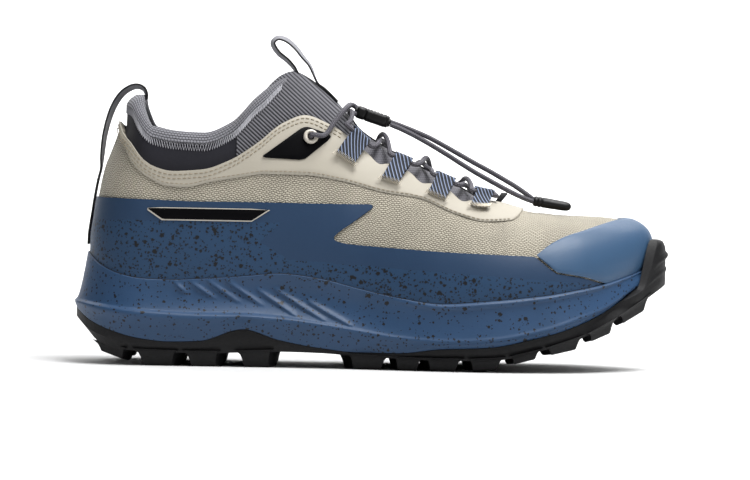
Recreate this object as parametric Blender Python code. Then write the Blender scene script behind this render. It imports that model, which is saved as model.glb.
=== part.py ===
"""Right trail running shoe with an elastic lace, toe to +X, outer side to -Y, in metres.

The upper, its overlays, the collar and the tongue are all cut from one function, section(),
which gives a point of the last from a station along the foot, a level up its side and a
distance inwards. The sole pieces are stacks of outlines from the same stations.
"""

import math

import bmesh
import bpy
import numpy as np
from mathutils import Vector

# Driving sizes of the shoe
LENGTH = 0.301
BALL_WIDTH = 0.112
SOLE_HEIGHT = 0.056
UPPER_HEIGHT = 0.150

# Clearances and walls
GAP = 0.0003
WALL = 0.002
FILM = 0.0008
LIP = 0.0018
TONGUE_WALL = 0.0035
TONGUE_DIVE = 0.0022
PADDING = 0.008
COLLAR_EASE = 0.0006
COLLAR_TUCK = 0.030
FOOTBED = 0.004
FOOTBED_LEAST = 0.0012
FOOTBED_FILL = 0.6
FOOTBED_ROUND = 0.0015
TUCK = 0.018
# The roll round the top of the padded band starts at this share of its height; its faces then
# stand out and in by these shares of the padding
ROLL_START = 0.82
ROLL_OUT = 0.30
ROLL_IN = 0.55
PAD_LEAST = 0.30
# Highest level of a wall whose two sides do not meet over the ridge
OPEN_TOP = 0.99

# Ends of the last: where the heel and toe start to close, and how square they are
HEEL_CENTRE = 0.13 * LENGTH
TOE_CENTRE = 0.80 * LENGTH
HEEL_SQUARE = 2.3
TOE_SQUARE = 2.15
TOE_SHIFT = 0.045 * BALL_WIDTH
TOE_BOX_SQUARE = 4.5
TOE_BULGE = 0.0022
HEEL_STATIONS = 5
MIDDLE_STATIONS = 18
TOE_STATIONS = 5
LEVELS = np.array([0.0, 0.13, 0.26, 0.39, 0.52, 0.64, 0.75, 0.85, 0.93, 0.98, 1.0])

# Ends of the openings along the foot
THROAT_END = 0.724 * LENGTH
TONGUE_PEAK = 0.366 * LENGTH
CUFF_JOIN = 0.272 * LENGTH

# Sole sections. along: share of LENGTH; lateral, medial: half widths over half of
# BALL_WIDTH; rim, bed, crease, seam, base: heights over SOLE_HEIGHT; lean: how far the side leans in
SOLE_COLUMNS = ("along", "lateral", "medial", "rim", "bed", "crease", "seam", "base", "lean")
SOLE = (
    (0.000, 0.800, 0.785, 0.995, 0.790, 0.575, 0.500, 0.330, 1.00),
    (0.030, 0.803, 0.785, 0.885, 0.720, 0.550, 0.390, 0.205, 1.00),
    (0.066, 0.805, 0.785, 0.815, 0.655, 0.525, 0.312, 0.150, 1.00),
    (0.116, 0.810, 0.782, 0.773, 0.622, 0.500, 0.246, 0.128, 1.00),
    (0.166, 0.808, 0.765, 0.765, 0.607, 0.485, 0.220, 0.122, 1.00),
    (0.216, 0.800, 0.730, 0.778, 0.607, 0.476, 0.230, 0.118, 1.00),
    (0.289, 0.785, 0.665, 0.808, 0.616, 0.478, 0.340, 0.130, 1.00),
    (0.349, 0.780, 0.620, 0.836, 0.616, 0.460, 0.250, 0.143, 1.00),
    (0.415, 0.790, 0.600, 0.797, 0.590, 0.415, 0.187, 0.138, 0.95),
    (0.482, 0.822, 0.625, 0.714, 0.536, 0.360, 0.154, 0.118, 0.85),
    (0.548, 0.893, 0.712, 0.641, 0.482, 0.310, 0.156, 0.106, 0.72),
    (0.615, 0.964, 0.828, 0.597, 0.446, 0.290, 0.200, 0.100, 0.62),
    (0.698, 1.000, 0.945, 0.630, 0.464, 0.310, 0.225, 0.104, 0.60),
    (0.781, 0.965, 0.982, 0.680, 0.518, 0.395, 0.320, 0.196, 0.60),
    (0.847, 0.890, 0.945, 0.735, 0.607, 0.500, 0.420, 0.304, 0.60),
    (0.904, 0.790, 0.870, 0.790, 0.690, 0.610, 0.545, 0.455, 0.60),
    (0.953, 0.690, 0.790, 0.862, 0.800, 0.750, 0.705, 0.625, 0.60),
    (1.000, 0.600, 0.710, 0.940, 0.910, 0.905, 0.885, 0.790, 0.60),
)

# Last sections. ridge, topline, cuff: heights over UPPER_HEIGHT; square: exponent of the
# section; centre: sideways place of the ridge over BALL_WIDTH
LAST_COLUMNS = ("along", "ridge", "topline", "cuff", "square", "centre")
LAST = (
    (0.000, 1.085, 0.813, 0.903, 2.60, 0.000),
    (0.030, 1.085, 0.773, 0.893, 2.60, 0.000),
    (0.066, 1.085, 0.740, 0.850, 2.60, 0.000),
    (0.116, 1.085, 0.680, 0.805, 2.60, 0.000),
    (0.166, 1.085, 0.649, 0.783, 2.55, 0.000),
    (0.216, 1.082, 0.656, 0.778, 2.50, 0.002),
    (0.262, 1.072, 0.689, 0.815, 2.40, 0.006),
    (0.305, 1.055, 0.745, 0.905, 2.30, 0.010),
    (0.349, 1.028, 0.816, 0.970, 2.15, 0.014),
    (0.385, 0.995, 0.843, 0.985, 2.05, 0.018),
    (0.425, 0.935, 0.815, 0.935, 2.00, 0.021),
    (0.457, 0.867, 0.776, 0.867, 1.98, 0.023),
    (0.475, 0.819, 0.743, 0.819, 1.97, 0.024),
    (0.515, 0.764, 0.699, 0.764, 1.97, 0.026),
    (0.555, 0.719, 0.667, 0.719, 2.00, 0.028),
    (0.625, 0.650, 0.603, 0.650, 2.08, 0.032),
    (0.680, 0.594, 0.565, 0.594, 2.15, 0.035),
    (0.724, 0.556, 0.552, 0.556, 2.25, 0.038),
    (0.781, 0.530, 0.530, 0.530, 2.35, 0.042),
    (0.860, 0.524, 0.524, 0.524, 2.40, 0.045),
    (1.000, 0.522, 0.522, 0.522, 2.40, 0.045),
)

# Back of the heel from the side. height: over UPPER_HEIGHT; inset: over LENGTH
BACK_COLUMNS = ("height", "inset")
BACK = (
    (0.25, 0.0285),
    (0.37, 0.0275),
    (0.42, 0.0280),
    (0.50, 0.0330),
    (0.58, 0.0390),
    (0.66, 0.0475),
    (0.71, 0.0570),
    (0.76, 0.0660),
    (0.81, 0.0730),
    (0.87, 0.0735),
    (0.91, 0.0790),
    (1.10, 0.1000),
)

# Sole side, bottom to top. rise: share of the way from one named height to the next;
# side, back, front: insets from the sole's outline
SEAM_INSET = (0.0026, 0.0010, 0.0086)
SHELF_INSET = (0.0, 0.0, 0.0074)
STEP_INSET = (0.0016, 0.0014, 0.0076)
WALL_INSET = (0.0036, 0.0044, 0.0078)
RIM_INSET = (0.0046, 0.0062, 0.0084)
SHELF_DROP = 0.0012
SHELF_RISE = 0.25
STEP_RISE = 0.0006
WALL_RISE = 0.55
# The step at the crease turns into a plain wall between these two shares of the length
STEP_FADE = (0.35, 0.60)
STEP_SHARE = 0.3

# Outsole: its bottom edge and its toe bumper, which leaves the midsole's seam between the two
# SWELL shares of the toe and climbs between the two CLIMB shares. BUMPER_EDGE and BUMPER_BACK
# are the insets of its outer and inner faces.
BASE_INSET = (0.0040, 0.0060, 0.0)
SHEET_LEAST = 0.0015
SHEET_EDGE = 0.55
SHEET_SHOULDER = 0.8
BUMPER_TOP = 0.067
BUMPER_SWELL = (0.62, 0.80)
BUMPER_CLIMB = (0.83, 0.97)
BUMPER_EDGE = (-0.0010, 0.0, 0.0030)
BUMPER_BACK = (-0.0003, 0.0, 0.0069)
BUMPER_ROUND = 0.0065
BUMPER_SLOPE = 0.0036

# Lugs, as rows of: place along the foot and length, over LENGTH; height of the bottom at its
# rear and front ends, over SOLE_HEIGHT
LUGS = (
    (0.078, 0.046, 0.110, 0.030),
    (0.158, 0.060, 0.000, 0.000),
    (0.232, 0.050, 0.000, 0.000),
    (0.320, 0.050, 0.000, 0.000),
    (0.492, 0.058, 0.000, 0.000),
    (0.560, 0.040, 0.000, 0.000),
    (0.618, 0.052, 0.000, 0.000),
    (0.688, 0.050, 0.005, 0.030),
    (0.754, 0.044, 0.065, 0.125),
    (0.818, 0.052, 0.150, 0.215),
    (0.882, 0.040, 0.270, 0.360),
    (0.938, 0.046, 0.420, 0.560),
)
LUG_SINK = 0.0010
LUG_DRAFT = 0.82
LUG_LEAD = 0.30
LUG_TURN = 0.4
LUG_NOTCH = 0.8
EDGE_LUG = (0.66, 0.99)
INNER_LUG = (0.10, 0.50)

# Ribs on the midsole's side, as rows of their two ends: along over LENGTH, up over SOLE_HEIGHT
RIBS = (
    (0.177, 0.725, 0.193, 0.655),
    (0.204, 0.735, 0.239, 0.615),
    (0.231, 0.755, 0.279, 0.585),
    (0.262, 0.758, 0.317, 0.562),
    (0.313, 0.685, 0.373, 0.477),
    (0.343, 0.688, 0.422, 0.436),
    (0.398, 0.588, 0.466, 0.395),
)
RIB_WIDTH = 0.0016
RIB_PROUD = 0.0009
RIB_SINK = 0.0008

# Overlay edges seen from the side: along over LENGTH, up over UPPER_HEIGHT
MUDGUARD_EDGE = (
    (-0.03, 0.556), (0.034, 0.558), (0.198, 0.548), (0.330, 0.549), (0.503, 0.546), (0.475, 0.498),
    (0.450, 0.462), (0.439, 0.440), (0.452, 0.424), (0.515, 0.407), (0.623, 0.394), (0.772, 0.384),
    (0.806, 0.331), (0.853, 0.317), (0.887, 0.298), (0.887, 0.150), (-0.03, 0.150),
)
TOE_CAP_EDGE = (
    (0.7745, 0.3875), (0.796, 0.421), (0.823, 0.449), (0.853, 0.468), (0.880, 0.486), (0.929, 0.515),
    (1.05, 0.540), (1.05, 0.150), (0.890, 0.150), (0.890, 0.3005), (0.8545, 0.3205), (0.8085, 0.3345),
)
EYESTAY_EDGE = (
    (-0.03, 0.790), (0.060, 0.768), (0.081, 0.731), (0.099, 0.675), (0.128, 0.625), (0.159, 0.599),
    (0.188, 0.596), (0.230, 0.615), (0.274, 0.630), (0.323, 0.645), (0.387, 0.644), (0.449, 0.626),
    (0.518, 0.591), (0.578, 0.573), (0.643, 0.521), (0.690, 0.499), (0.735, 0.505), (0.752, 0.530),
    (0.760, 1.10), (-0.03, 1.10),
)
PATCH_EDGE = ((0.316, 0.699), (0.386, 0.801), (0.429, 0.768), (0.383, 0.692))

# Lace hardware
EYELET_PLACE = (0.394, 0.768)
EYELET_OUTER = 0.0038
EYELET_HOLE = 0.0018
EYELET_TALL = 0.0014
LACE_DIAMETER = 0.0025
LOOP_TAPE = 0.0007
LOOP_CLEAR = 0.0008
LOOP_WIDE = 0.0085
LOCK_LONG = 0.018
LOCK_WIDE = 0.013
LOCK_TALL = 0.0066
LACE_STOP = 0.0006
LACE_TURN = 0.0030
LACE_BAR = (0.0050, 0.0034, 0.0050)
EDGE_STRAND = 0.0026
LOW_STRAND = -0.0006
HIGH_STRAND = 0.0027
STRAND_SHARES = (0.15, 0.32, 0.50, 0.68, 0.85)
EYE_SHARES = (-0.30, 0.05, 0.95, 1.30)
FIRST_EYE = -0.50
RISER_BOW = 1.8
RISER_LIFTS = (0.0026, 0.0026, 0.0030, 0.0060, 0.0060)
STRAND_OUTER = 0.0049
STRAND_INNER = 0.0021
STRAND_DROP = 0.0014
LOCK_PLACE = (0.498, 0.846)
LOCK_TILT = math.radians(18)

# Lace loops on each side, from the ankle to the toe, as rows of: place along the foot over
# LENGTH; length from the tape's foot to its bend over BALL_WIDTH
LOOPS = (
    (0.472, 0.115),
    (0.546, 0.105),
    (0.618, 0.092),
    (0.683, 0.078),
)
LOOP_OVER = 0.0014

# Pull loops
TAPE = 0.0012
HEEL_TAPE_WIDE = 0.0095
TONGUE_TAPE_WIDE = 0.0085
TAPE_STATIONS = 30
# Places over LENGTH and UPPER_HEIGHT; the heel tape starts at a share of SOLE_HEIGHT and
# follows the heel up to a share of UPPER_HEIGHT, the tongue's starts at shares of LENGTH
HEEL_TAPE_LOW = 1.06
HEEL_TAPE_HIGH = 0.75
HEEL_TAPE_ARC = (
    (0.049, 0.830), (0.060, 0.880), (0.077, 0.916), (0.095, 0.936), (0.108, 0.932), (0.1135, 0.921),
    (0.113, 0.912),
)
TONGUE_TAPE_FOOT = (0.442, 0.430, 0.418, 0.406)
TONGUE_TAPE_ARC = (
    (0.391, 1.013), (0.378, 1.045), (0.366, 1.075), (0.351, 1.100), (0.336, 1.108), (0.327, 1.090),
    (0.336, 1.058), (0.352, 1.036), (0.366, 1.020),
)

# Lace tails and the grip on their ends: places over LENGTH, BALL_WIDTH and UPPER_HEIGHT
TAIL_UPPER_ROUTE = (
    (0.5289, 0.0223, 0.8293), (0.5498, 0.0232, 0.8147), (0.5757, 0.0241, 0.7947),
    (0.5973, 0.0250, 0.7760), (0.6246, 0.0250, 0.7473), (0.6508, 0.0250, 0.7187),
    (0.6721, 0.0241, 0.6953), (0.6977, 0.0232, 0.6687), (0.7193, 0.0214, 0.6447),
    (0.7409, 0.0187, 0.6200), (0.7608, 0.0143, 0.5933), (0.7751, 0.0125, 0.5720),
)
TAIL_LOWER_ROUTE = (
    (0.5282, -0.0223, 0.8207), (0.5482, -0.0250, 0.8047), (0.5731, -0.0268, 0.7807),
    (0.5977, -0.0268, 0.7540), (0.6246, -0.0268, 0.7227), (0.6478, -0.0268, 0.6940),
    (0.6724, -0.0268, 0.6647), (0.6977, -0.0268, 0.6373), (0.7209, -0.0250, 0.6127),
    (0.7409, -0.0214, 0.5927), (0.7591, -0.0161, 0.5773), (0.7751, -0.0125, 0.5667),
)
GRIP_START = (0.7784, 0.0000, 0.5680)
GRIP_END = (0.8372, 0.0000, 0.5507)
GRIP_RADIUS = 0.0027
GRIP_FLAT = 1.25
# Shares of the grip's length and of its radius, from the rear
GRIP_PROFILE = ((0.0, 0.80), (0.06, 1.0), (0.30, 0.96), (0.80, 0.90), (0.94, 0.72), (1.0, 0.40))
CORD_POINTS = 16
KEEPER_ALONG = 0.7065
KEEPER_MIDDLE = 0.0035
KEEPER_REACH = 0.0027
KEEPER_TALL = 0.0056
KEEPER_LEAN = 0.80
KEEPER_WIDE = 0.0022
KEEPER_TAPE = 0.0009
KEEPER_CLEAR = 0.0007


def table(columns, rows):
    """Rows with named columns as a dictionary of arrays."""
    data = np.array(rows, dtype=float)
    return {name: data[:, i] for i, name in enumerate(columns)}


def smooth(xs, ys, x):
    """Monotone cubic through the points (xs, ys), read at x, held flat past its ends."""
    x = np.clip(np.asarray(x, dtype=float), xs[0], xs[-1])
    h = np.diff(xs)
    d = np.diff(ys) / h
    slope = np.zeros_like(ys)
    same = d[:-1] * d[1:] > 0.0
    weight_a = 2.0 * h[1:] + h[:-1]
    weight_b = h[1:] + 2.0 * h[:-1]
    safe_a = np.where(same, d[:-1], 1.0)
    safe_b = np.where(same, d[1:], 1.0)
    mean = (weight_a + weight_b) / (weight_a / safe_a + weight_b / safe_b)
    slope[1:-1] = np.where(same, mean, 0.0)
    slope[0] = d[0]
    slope[-1] = d[-1]
    i = np.clip(np.searchsorted(xs, x, side="right") - 1, 0, len(h) - 1)
    t = (x - xs[i]) / h[i]
    a = (1.0 + 2.0 * t) * (1.0 - t) ** 2
    b = t * (1.0 - t) ** 2
    c = t * t * (3.0 - 2.0 * t)
    e = t * t * (t - 1.0)
    return a * ys[i] + b * h[i] * slope[i] + c * ys[i + 1] + e * h[i] * slope[i + 1]


SOLE_TABLE = table(SOLE_COLUMNS, SOLE)
LAST_TABLE = table(LAST_COLUMNS, LAST)
BACK_TABLE = table(BACK_COLUMNS, BACK)


def sole_at(column, x):
    """A height of the sole, or its lean, at x."""
    scale = 1.0 if column == "lean" else SOLE_HEIGHT
    return scale * smooth(SOLE_TABLE["along"], SOLE_TABLE[column], np.asarray(x) / LENGTH)


def width_at(side, x):
    """Half width of the sole at x: side is -1 for lateral and 1 for medial."""
    column = "lateral" if side < 0 else "medial"
    return 0.5 * BALL_WIDTH * smooth(SOLE_TABLE["along"], SOLE_TABLE[column], np.asarray(x) / LENGTH)


def last_at(column, x):
    """A height, exponent or ridge place of the last at x."""
    scale = {"square": 1.0, "centre": BALL_WIDTH}.get(column, UPPER_HEIGHT)
    return scale * smooth(LAST_TABLE["along"], LAST_TABLE[column], np.asarray(x) / LENGTH)


def heel_inset(z):
    """How far the back of the upper stands in from the back of the sole at height z."""
    return LENGTH * smooth(BACK_TABLE["height"], BACK_TABLE["inset"], np.asarray(z) / UPPER_HEIGHT)


def make_stations():
    """Stations from heel to toe: x on the sole's outline, and the shares that close the ends."""
    quarter = 0.5 * math.pi
    heel = np.cos(np.linspace(0.0, quarter, HEEL_STATIONS + 1)[:-1]) ** (2.0 / HEEL_SQUARE)
    toe = np.cos(np.linspace(quarter, 0.0, TOE_STATIONS + 1)[1:]) ** (2.0 / TOE_SQUARE)
    middle = np.linspace(HEEL_CENTRE, TOE_CENTRE, MIDDLE_STATIONS)
    for place in (CUFF_JOIN, TONGUE_PEAK, THROAT_END):
        middle[np.abs(middle - place).argmin()] = place
    x = np.concatenate((HEEL_CENTRE * (1.0 - heel), middle, TOE_CENTRE + (LENGTH - TOE_CENTRE) * toe))
    to_heel = np.concatenate((heel, np.zeros(MIDDLE_STATIONS + TOE_STATIONS)))
    to_toe = np.concatenate((np.zeros(HEEL_STATIONS + MIDDLE_STATIONS), toe))
    spread = (1.0 - to_heel**HEEL_SQUARE) ** (1.0 / HEEL_SQUARE) * (1.0 - to_toe**TOE_SQUARE) ** (
        1.0 / TOE_SQUARE
    )
    return x, to_heel, to_toe, np.where(spread < 1e-6, 0.0, spread)


X, TO_HEEL, TO_TOE, SPREAD = make_stations()


def outline(side, z, inset):
    """A ring's half on one side: heights z, and insets from the sole's side, back and front."""
    in_side, in_back, in_front = inset
    half = width_at(side, X) - in_side
    middle = TOE_SHIFT * smooth(np.array([0.5, 1.0]), np.array([0.0, 1.0]), X / LENGTH)
    y = middle + (side * half - middle) * SPREAD
    x = X + TO_HEEL * in_back - TO_TOE * in_front
    return np.stack((x, y, z + np.zeros_like(x)), axis=1)


def section(x, to_heel, to_toe, spread, side, level, depth):
    """Point of the last at a station: level 0 is the midsole's rim, 1 is the ridge."""
    rim = sole_at("rim", x)
    tall = last_at("ridge", x) - rim - depth
    square = last_at("square", x)
    z = rim + tall * level
    half = width_at(side, x) - RIM_INSET[0] * sole_at("lean", x) - LIP - GAP - depth
    closing = np.clip(1.0 - np.clip(level, 0.0, 1.0) ** square, 0.0, 1.0) ** (1.0 / square)
    middle = last_at("centre", x)
    y = middle + (side * half - middle) * spread * closing
    reach = LENGTH - TOE_CENTRE - RIM_INSET[2] - LIP - GAP - depth
    nose = np.clip(1.0 - np.clip(level, 0.0, 1.0) ** TOE_BOX_SQUARE, 0.0, 1.0) ** (1.0 / TOE_BOX_SQUARE)
    bulge = TOE_BULGE * np.sin(math.pi * np.clip(level, 0.0, 1.0))
    front = TOE_CENTRE + to_toe * (reach * nose + bulge)
    back = x + to_heel * (heel_inset(z) + depth)
    return np.stack((np.where(to_toe > 0.0, front, back), y, z), axis=-1)


def skin(x, side, level, depth=0.0):
    """Point of the last between heel and toe, as a vector."""
    point = section(np.float64(x), 0.0, np.float64(0.0), 1.0, side, np.float64(level), depth)
    return Vector(point.tolist())


def level_of(x, z):
    """Level at which the last reaches height z at x."""
    rim = sole_at("rim", x)
    return (z - rim) / (last_at("ridge", x) - rim)


def normal_at(x, side, level):
    """Outward normal of the last."""
    step = 0.0005
    along = skin(x + step, side, level) - skin(x - step, side, level)
    up = skin(x, side, min(level + 0.01, 1.0)) - skin(x, side, level - 0.01)
    return (side * up.cross(along)).normalized()


def new_object(name, mesh, material):
    """Put a mesh in the scene under its name and material, with smooth shading."""
    mesh.materials.append(material)
    mesh.shade_smooth()
    mesh.set_sharp_from_angle(angle=math.radians(40))
    thing = bpy.data.objects.new(name, mesh)
    bpy.context.scene.collection.objects.link(thing)
    return thing


def mesh_from(name, points, faces):
    """Closed mesh from points and faces, with doubles merged and normals outwards."""
    mesh = bpy.data.meshes.new(name)
    mesh.from_pydata([tuple(map(float, p)) for p in points], [], faces)
    body = bmesh.new()
    body.from_mesh(mesh)
    bmesh.ops.remove_doubles(body, verts=body.verts, dist=0.00002)
    bmesh.ops.dissolve_degenerate(body, edges=body.edges, dist=0.00001)
    bmesh.ops.triangulate(body, faces=body.faces)
    bmesh.ops.recalc_face_normals(body, faces=body.faces)
    body.to_mesh(mesh)
    body.free()
    return mesh


def combine(mesh, other, operation):
    """Result of a boolean between two meshes, as a new mesh."""
    first = bpy.data.objects.new("first", mesh)
    second = bpy.data.objects.new("second", other)
    for thing in (first, second):
        bpy.context.scene.collection.objects.link(thing)
    cut = first.modifiers.new("cut", "BOOLEAN")
    cut.operation = operation
    cut.object = second
    bpy.context.view_layer.update()
    result = bpy.data.meshes.new_from_object(first.evaluated_get(bpy.context.evaluated_depsgraph_get()))
    for thing in (first, second):
        bpy.data.objects.remove(thing)
    body = bmesh.new()
    body.from_mesh(result)
    bmesh.ops.remove_doubles(body, verts=body.verts, dist=0.00001)
    bmesh.ops.dissolve_degenerate(body, edges=body.edges, dist=0.00001)
    body.to_mesh(result)
    body.free()
    return result


def stack_mesh(name, rings):
    """Solid from rings, bottom to top. A ring is its lateral half and its medial half."""
    count = len(rings[0][0])
    points = np.concatenate([half for ring in rings for half in ring])
    faces = []

    def at(ring, side, i):
        return (2 * ring + side) * count + i

    for side in (0, 1):
        for ring in range(len(rings) - 1):
            for i in range(count - 1):
                faces.append((at(ring, side, i), at(ring, side, i + 1), at(ring + 1, side, i + 1),
                              at(ring + 1, side, i)))
    for ring in (0, len(rings) - 1):
        for i in range(count - 1):
            faces.append((at(ring, 0, i), at(ring, 0, i + 1), at(ring, 1, i + 1), at(ring, 1, i)))
    return mesh_from(name, points, faces)


def shell_mesh(name, first, last, low, high, closed, outer, inner, start=0.0):
    """Wall between two depths of the last.

    first and last are stations. low and high are the levels where the wall starts and ends at
    each station, closed says where it runs over the ridge, and outer and inner are functions
    that give the depths of its faces from a station and a level. start moves the first station.
    """
    stations = range(first, last + 1)
    grids = []
    for side in (-1, 1):
        for depth in (outer, inner):
            grid = np.zeros((len(stations), len(LEVELS) + 2, 3))
            for row, i in enumerate(stations):
                levels = np.clip(np.concatenate(([low[i]], LEVELS, [high[i]])), low[i], high[i])
                depths = np.array([depth(i, level) for level in levels])
                x = X[i] + (start if row == 0 else 0.0)
                grid[row] = section(x, TO_HEEL[i], TO_TOE[i], SPREAD[i], side, levels, depths)
            grids.append(grid)
    rows, columns = grids[0].shape[:2]
    points = np.concatenate([grid.reshape(-1, 3) for grid in grids])
    faces = []

    def at(grid, row, column):
        return (grid * rows + row) * columns + column

    for grid in range(4):
        for row in range(rows - 1):
            for column in range(columns - 1):
                faces.append((at(grid, row, column), at(grid, row + 1, column),
                              at(grid, row + 1, column + 1), at(grid, row, column + 1)))
    for outside, inside in ((0, 1), (2, 3)):
        for row in range(rows - 1):
            faces.append((at(outside, row, 0), at(outside, row + 1, 0), at(inside, row + 1, 0),
                          at(inside, row, 0)))
            if not (closed[first + row] and closed[first + row + 1]):
                top = columns - 1
                faces.append((at(outside, row, top), at(outside, row + 1, top),
                              at(inside, row + 1, top), at(inside, row, top)))
        for row, station in ((0, first), (rows - 1, last)):
            if 0 < station < len(X) - 1:
                for column in range(columns - 1):
                    faces.append((at(outside, row, column), at(outside, row, column + 1),
                                  at(inside, row, column + 1), at(inside, row, column)))
    return mesh_from(name, points, faces)


def prism_mesh(name, edge, low_y, high_y):
    """Prism across the shoe from an outline seen from the side, in shares of its sizes."""
    flat = [(a * LENGTH, b * UPPER_HEIGHT) for a, b in edge]
    points = [(x, low_y, z) for x, z in flat] + [(x, high_y, z) for x, z in flat]
    n = len(flat)
    faces = [tuple(range(n)), tuple(range(2 * n - 1, n - 1, -1))]
    faces += [(i, i + n, (i + 1) % n + n, (i + 1) % n) for i in range(n)]
    mesh = bpy.data.meshes.new(name)
    mesh.from_pydata(points, [], faces)
    body = bmesh.new()
    body.from_mesh(mesh)
    bmesh.ops.triangulate(body, faces=body.faces)
    bmesh.ops.recalc_face_normals(body, faces=body.faces)
    body.to_mesh(mesh)
    body.free()
    return mesh


def tube_mesh(name, route, radius, sides=8):
    """Round bar with flat ends along a route, its sides turned as little as can be."""
    points = [Vector(p) for p in route]
    frames = []
    normal = None
    for i, point in enumerate(points):
        ahead = points[min(i + 1, len(points) - 1)] - points[max(i - 1, 0)]
        ahead.normalize()
        if normal is None:
            normal = ahead.orthogonal().normalized()
        normal = (normal - ahead * normal.dot(ahead)).normalized()
        frames.append((point, normal.copy(), ahead.cross(normal)))
    rings = []
    for point, across, up in frames:
        for k in range(sides):
            turn = 2.0 * math.pi * k / sides
            rings.append(point + radius * (math.cos(turn) * across + math.sin(turn) * up))
    faces = [tuple(range(sides)), tuple(range(len(rings) - 1, len(rings) - 1 - sides, -1))]
    for i in range(len(points) - 1):
        for k in range(sides):
            j = (k + 1) % sides
            faces.append((i * sides + k, i * sides + j, (i + 1) * sides + j, (i + 1) * sides + k))
    return mesh_from(name, rings, faces)


def spline(points, count):
    """Points evenly spaced on a smooth curve through the given ones."""
    data = np.array([tuple(p) for p in points], dtype=float)
    ends = np.vstack((2 * data[0] - data[1], data, 2 * data[-1] - data[-2]))
    pieces = []
    for i in range(1, len(ends) - 2):
        a, b, c, d = ends[i - 1], ends[i], ends[i + 1], ends[i + 2]
        for t in np.linspace(0.0, 1.0, 12, endpoint=False):
            pieces.append(0.5 * (2 * b + (c - a) * t + (2 * a - 5 * b + 4 * c - d) * t**2
                                 + (3 * b - a - 3 * c + d) * t**3))
    pieces.append(data[-1])
    dense = np.array(pieces)
    run = np.concatenate(([0.0], np.cumsum(np.linalg.norm(np.diff(dense, axis=0), axis=1))))
    places = np.linspace(0.0, run[-1], count)
    return [Vector([float(np.interp(s, run, dense[:, k])) for k in range(3)]) for s in places]


def rounded(route, rounds=2, flat=math.radians(8)):
    """Route with its corners cut, which never leaves the corners' hull, less its straight points."""
    points = [Vector(p) for p in route]
    for _ in range(rounds):
        cut = [points[0]]
        for a, b in zip(points, points[1:]):
            cut += [a.lerp(b, 0.25), a.lerp(b, 0.75)]
        points = cut + [points[-1]]
    kept = [points[0]]
    for here, after in zip(points[1:], points[2:]):
        if (here - kept[-1]).angle(after - here) > flat:
            kept.append(here)
    return kept + [points[-1]]


def ribbon_mesh(name, route, wide, thick):
    """Flat tape of even thickness along a route in the XZ plane, its width across the shoe."""
    points = [Vector(p) for p in route]
    rings = []
    for i, point in enumerate(points):
        ahead = (points[min(i + 1, len(points) - 1)] - points[max(i - 1, 0)]).normalized()
        out = Vector((ahead.z, 0.0, -ahead.x)) * (0.5 * thick)
        across = Vector((0.0, 0.5 * wide, 0.0))
        rings += [point - across - out, point + across - out, point + across + out, point - across + out]
    faces = [(0, 1, 2, 3), tuple(range(len(rings) - 1, len(rings) - 5, -1))]
    for i in range(len(points) - 1):
        for k in range(4):
            j = (k + 1) % 4
            faces.append((4 * i + k, 4 * i + j, 4 * i + 4 + j, 4 * i + 4 + k))
    return mesh_from(name, rings, faces)


def paint(name, colour, roughness, metallic=0.0):
    """Material of one finish."""
    material = bpy.data.materials.new(name)
    material.use_nodes = True
    shader = material.node_tree.nodes["Principled BSDF"]
    shader.inputs["Base Color"].default_value = (*colour, 1.0)
    shader.inputs["Roughness"].default_value = roughness
    shader.inputs["Metallic"].default_value = metallic
    return material


def seam_rings(inset, z):
    """Lateral and medial halves of one ring of the sole."""
    return [outline(side, z, inset) for side in (-1, 1)]


def leaning(inset):
    """An inset whose side part follows the lean of the sole's side."""
    return (inset[0] * sole_at("lean", X), inset[1], inset[2])


def deeper(inset, depth):
    """An inset moved inwards all round."""
    return tuple(part + depth for part in inset)


def step_inset(x):
    """Side inset of the step over the crease, which fades into the wall towards the toe."""
    fade = np.clip((STEP_FADE[1] - x / LENGTH) / (STEP_FADE[1] - STEP_FADE[0]), 0.0, 1.0)
    return STEP_INSET[0] * fade + WALL_INSET[0] * STEP_SHARE * (1.0 - fade) * sole_at("lean", x)


def shelf_at(x):
    """Height of the flared shelf's edge, just under the crease."""
    seam = sole_at("seam", x)
    crease = sole_at("crease", x)
    return np.maximum(crease - SHELF_DROP, seam + SHELF_RISE * (crease - seam))


def midsole_mesh():
    """Foam cup: seam, flared shelf, crease, wall, rim, lip and the bed inside it, then ribs."""
    seam = sole_at("seam", X)
    rim = sole_at("rim", X)
    crease = sole_at("crease", X)
    bed = sole_at("bed", X)
    step = (step_inset(X), *STEP_INSET[1:])
    rim_inset = leaning(RIM_INSET)
    body = stack_mesh("midsole", [
        seam_rings(SEAM_INSET, seam),
        seam_rings(SHELF_INSET, shelf_at(X)),
        seam_rings(step, crease + STEP_RISE),
        seam_rings(leaning(WALL_INSET), crease + WALL_RISE * (rim - crease)),
        seam_rings(rim_inset, rim),
        seam_rings(deeper(rim_inset, LIP), rim),
        seam_rings(deeper(rim_inset, LIP), bed),
    ])
    for row in RIBS:
        for side in (-1, 1):
            body = combine(body, rib_mesh(row, side), "UNION")
    return body


def side_wall(x, z, side):
    """Point on the midsole's side wall at x and height z."""
    crease = sole_at("crease", x)
    rim = sole_at("rim", x)
    middle = crease + WALL_RISE * (rim - crease)
    lean = sole_at("lean", x)
    heights = np.array([sole_at("seam", x), shelf_at(x), crease + STEP_RISE, middle, rim])
    insets = np.array([SEAM_INSET[0], 0.0, step_inset(x), WALL_INSET[0] * lean, RIM_INSET[0] * lean])
    middle_y = TOE_SHIFT * float(smooth(np.array([0.5, 1.0]), np.array([0.0, 1.0]), x / LENGTH))
    half = float(width_at(side, x)) - float(np.interp(z, heights, insets))
    return Vector((x, middle_y + (side * half - middle_y), z))


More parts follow.
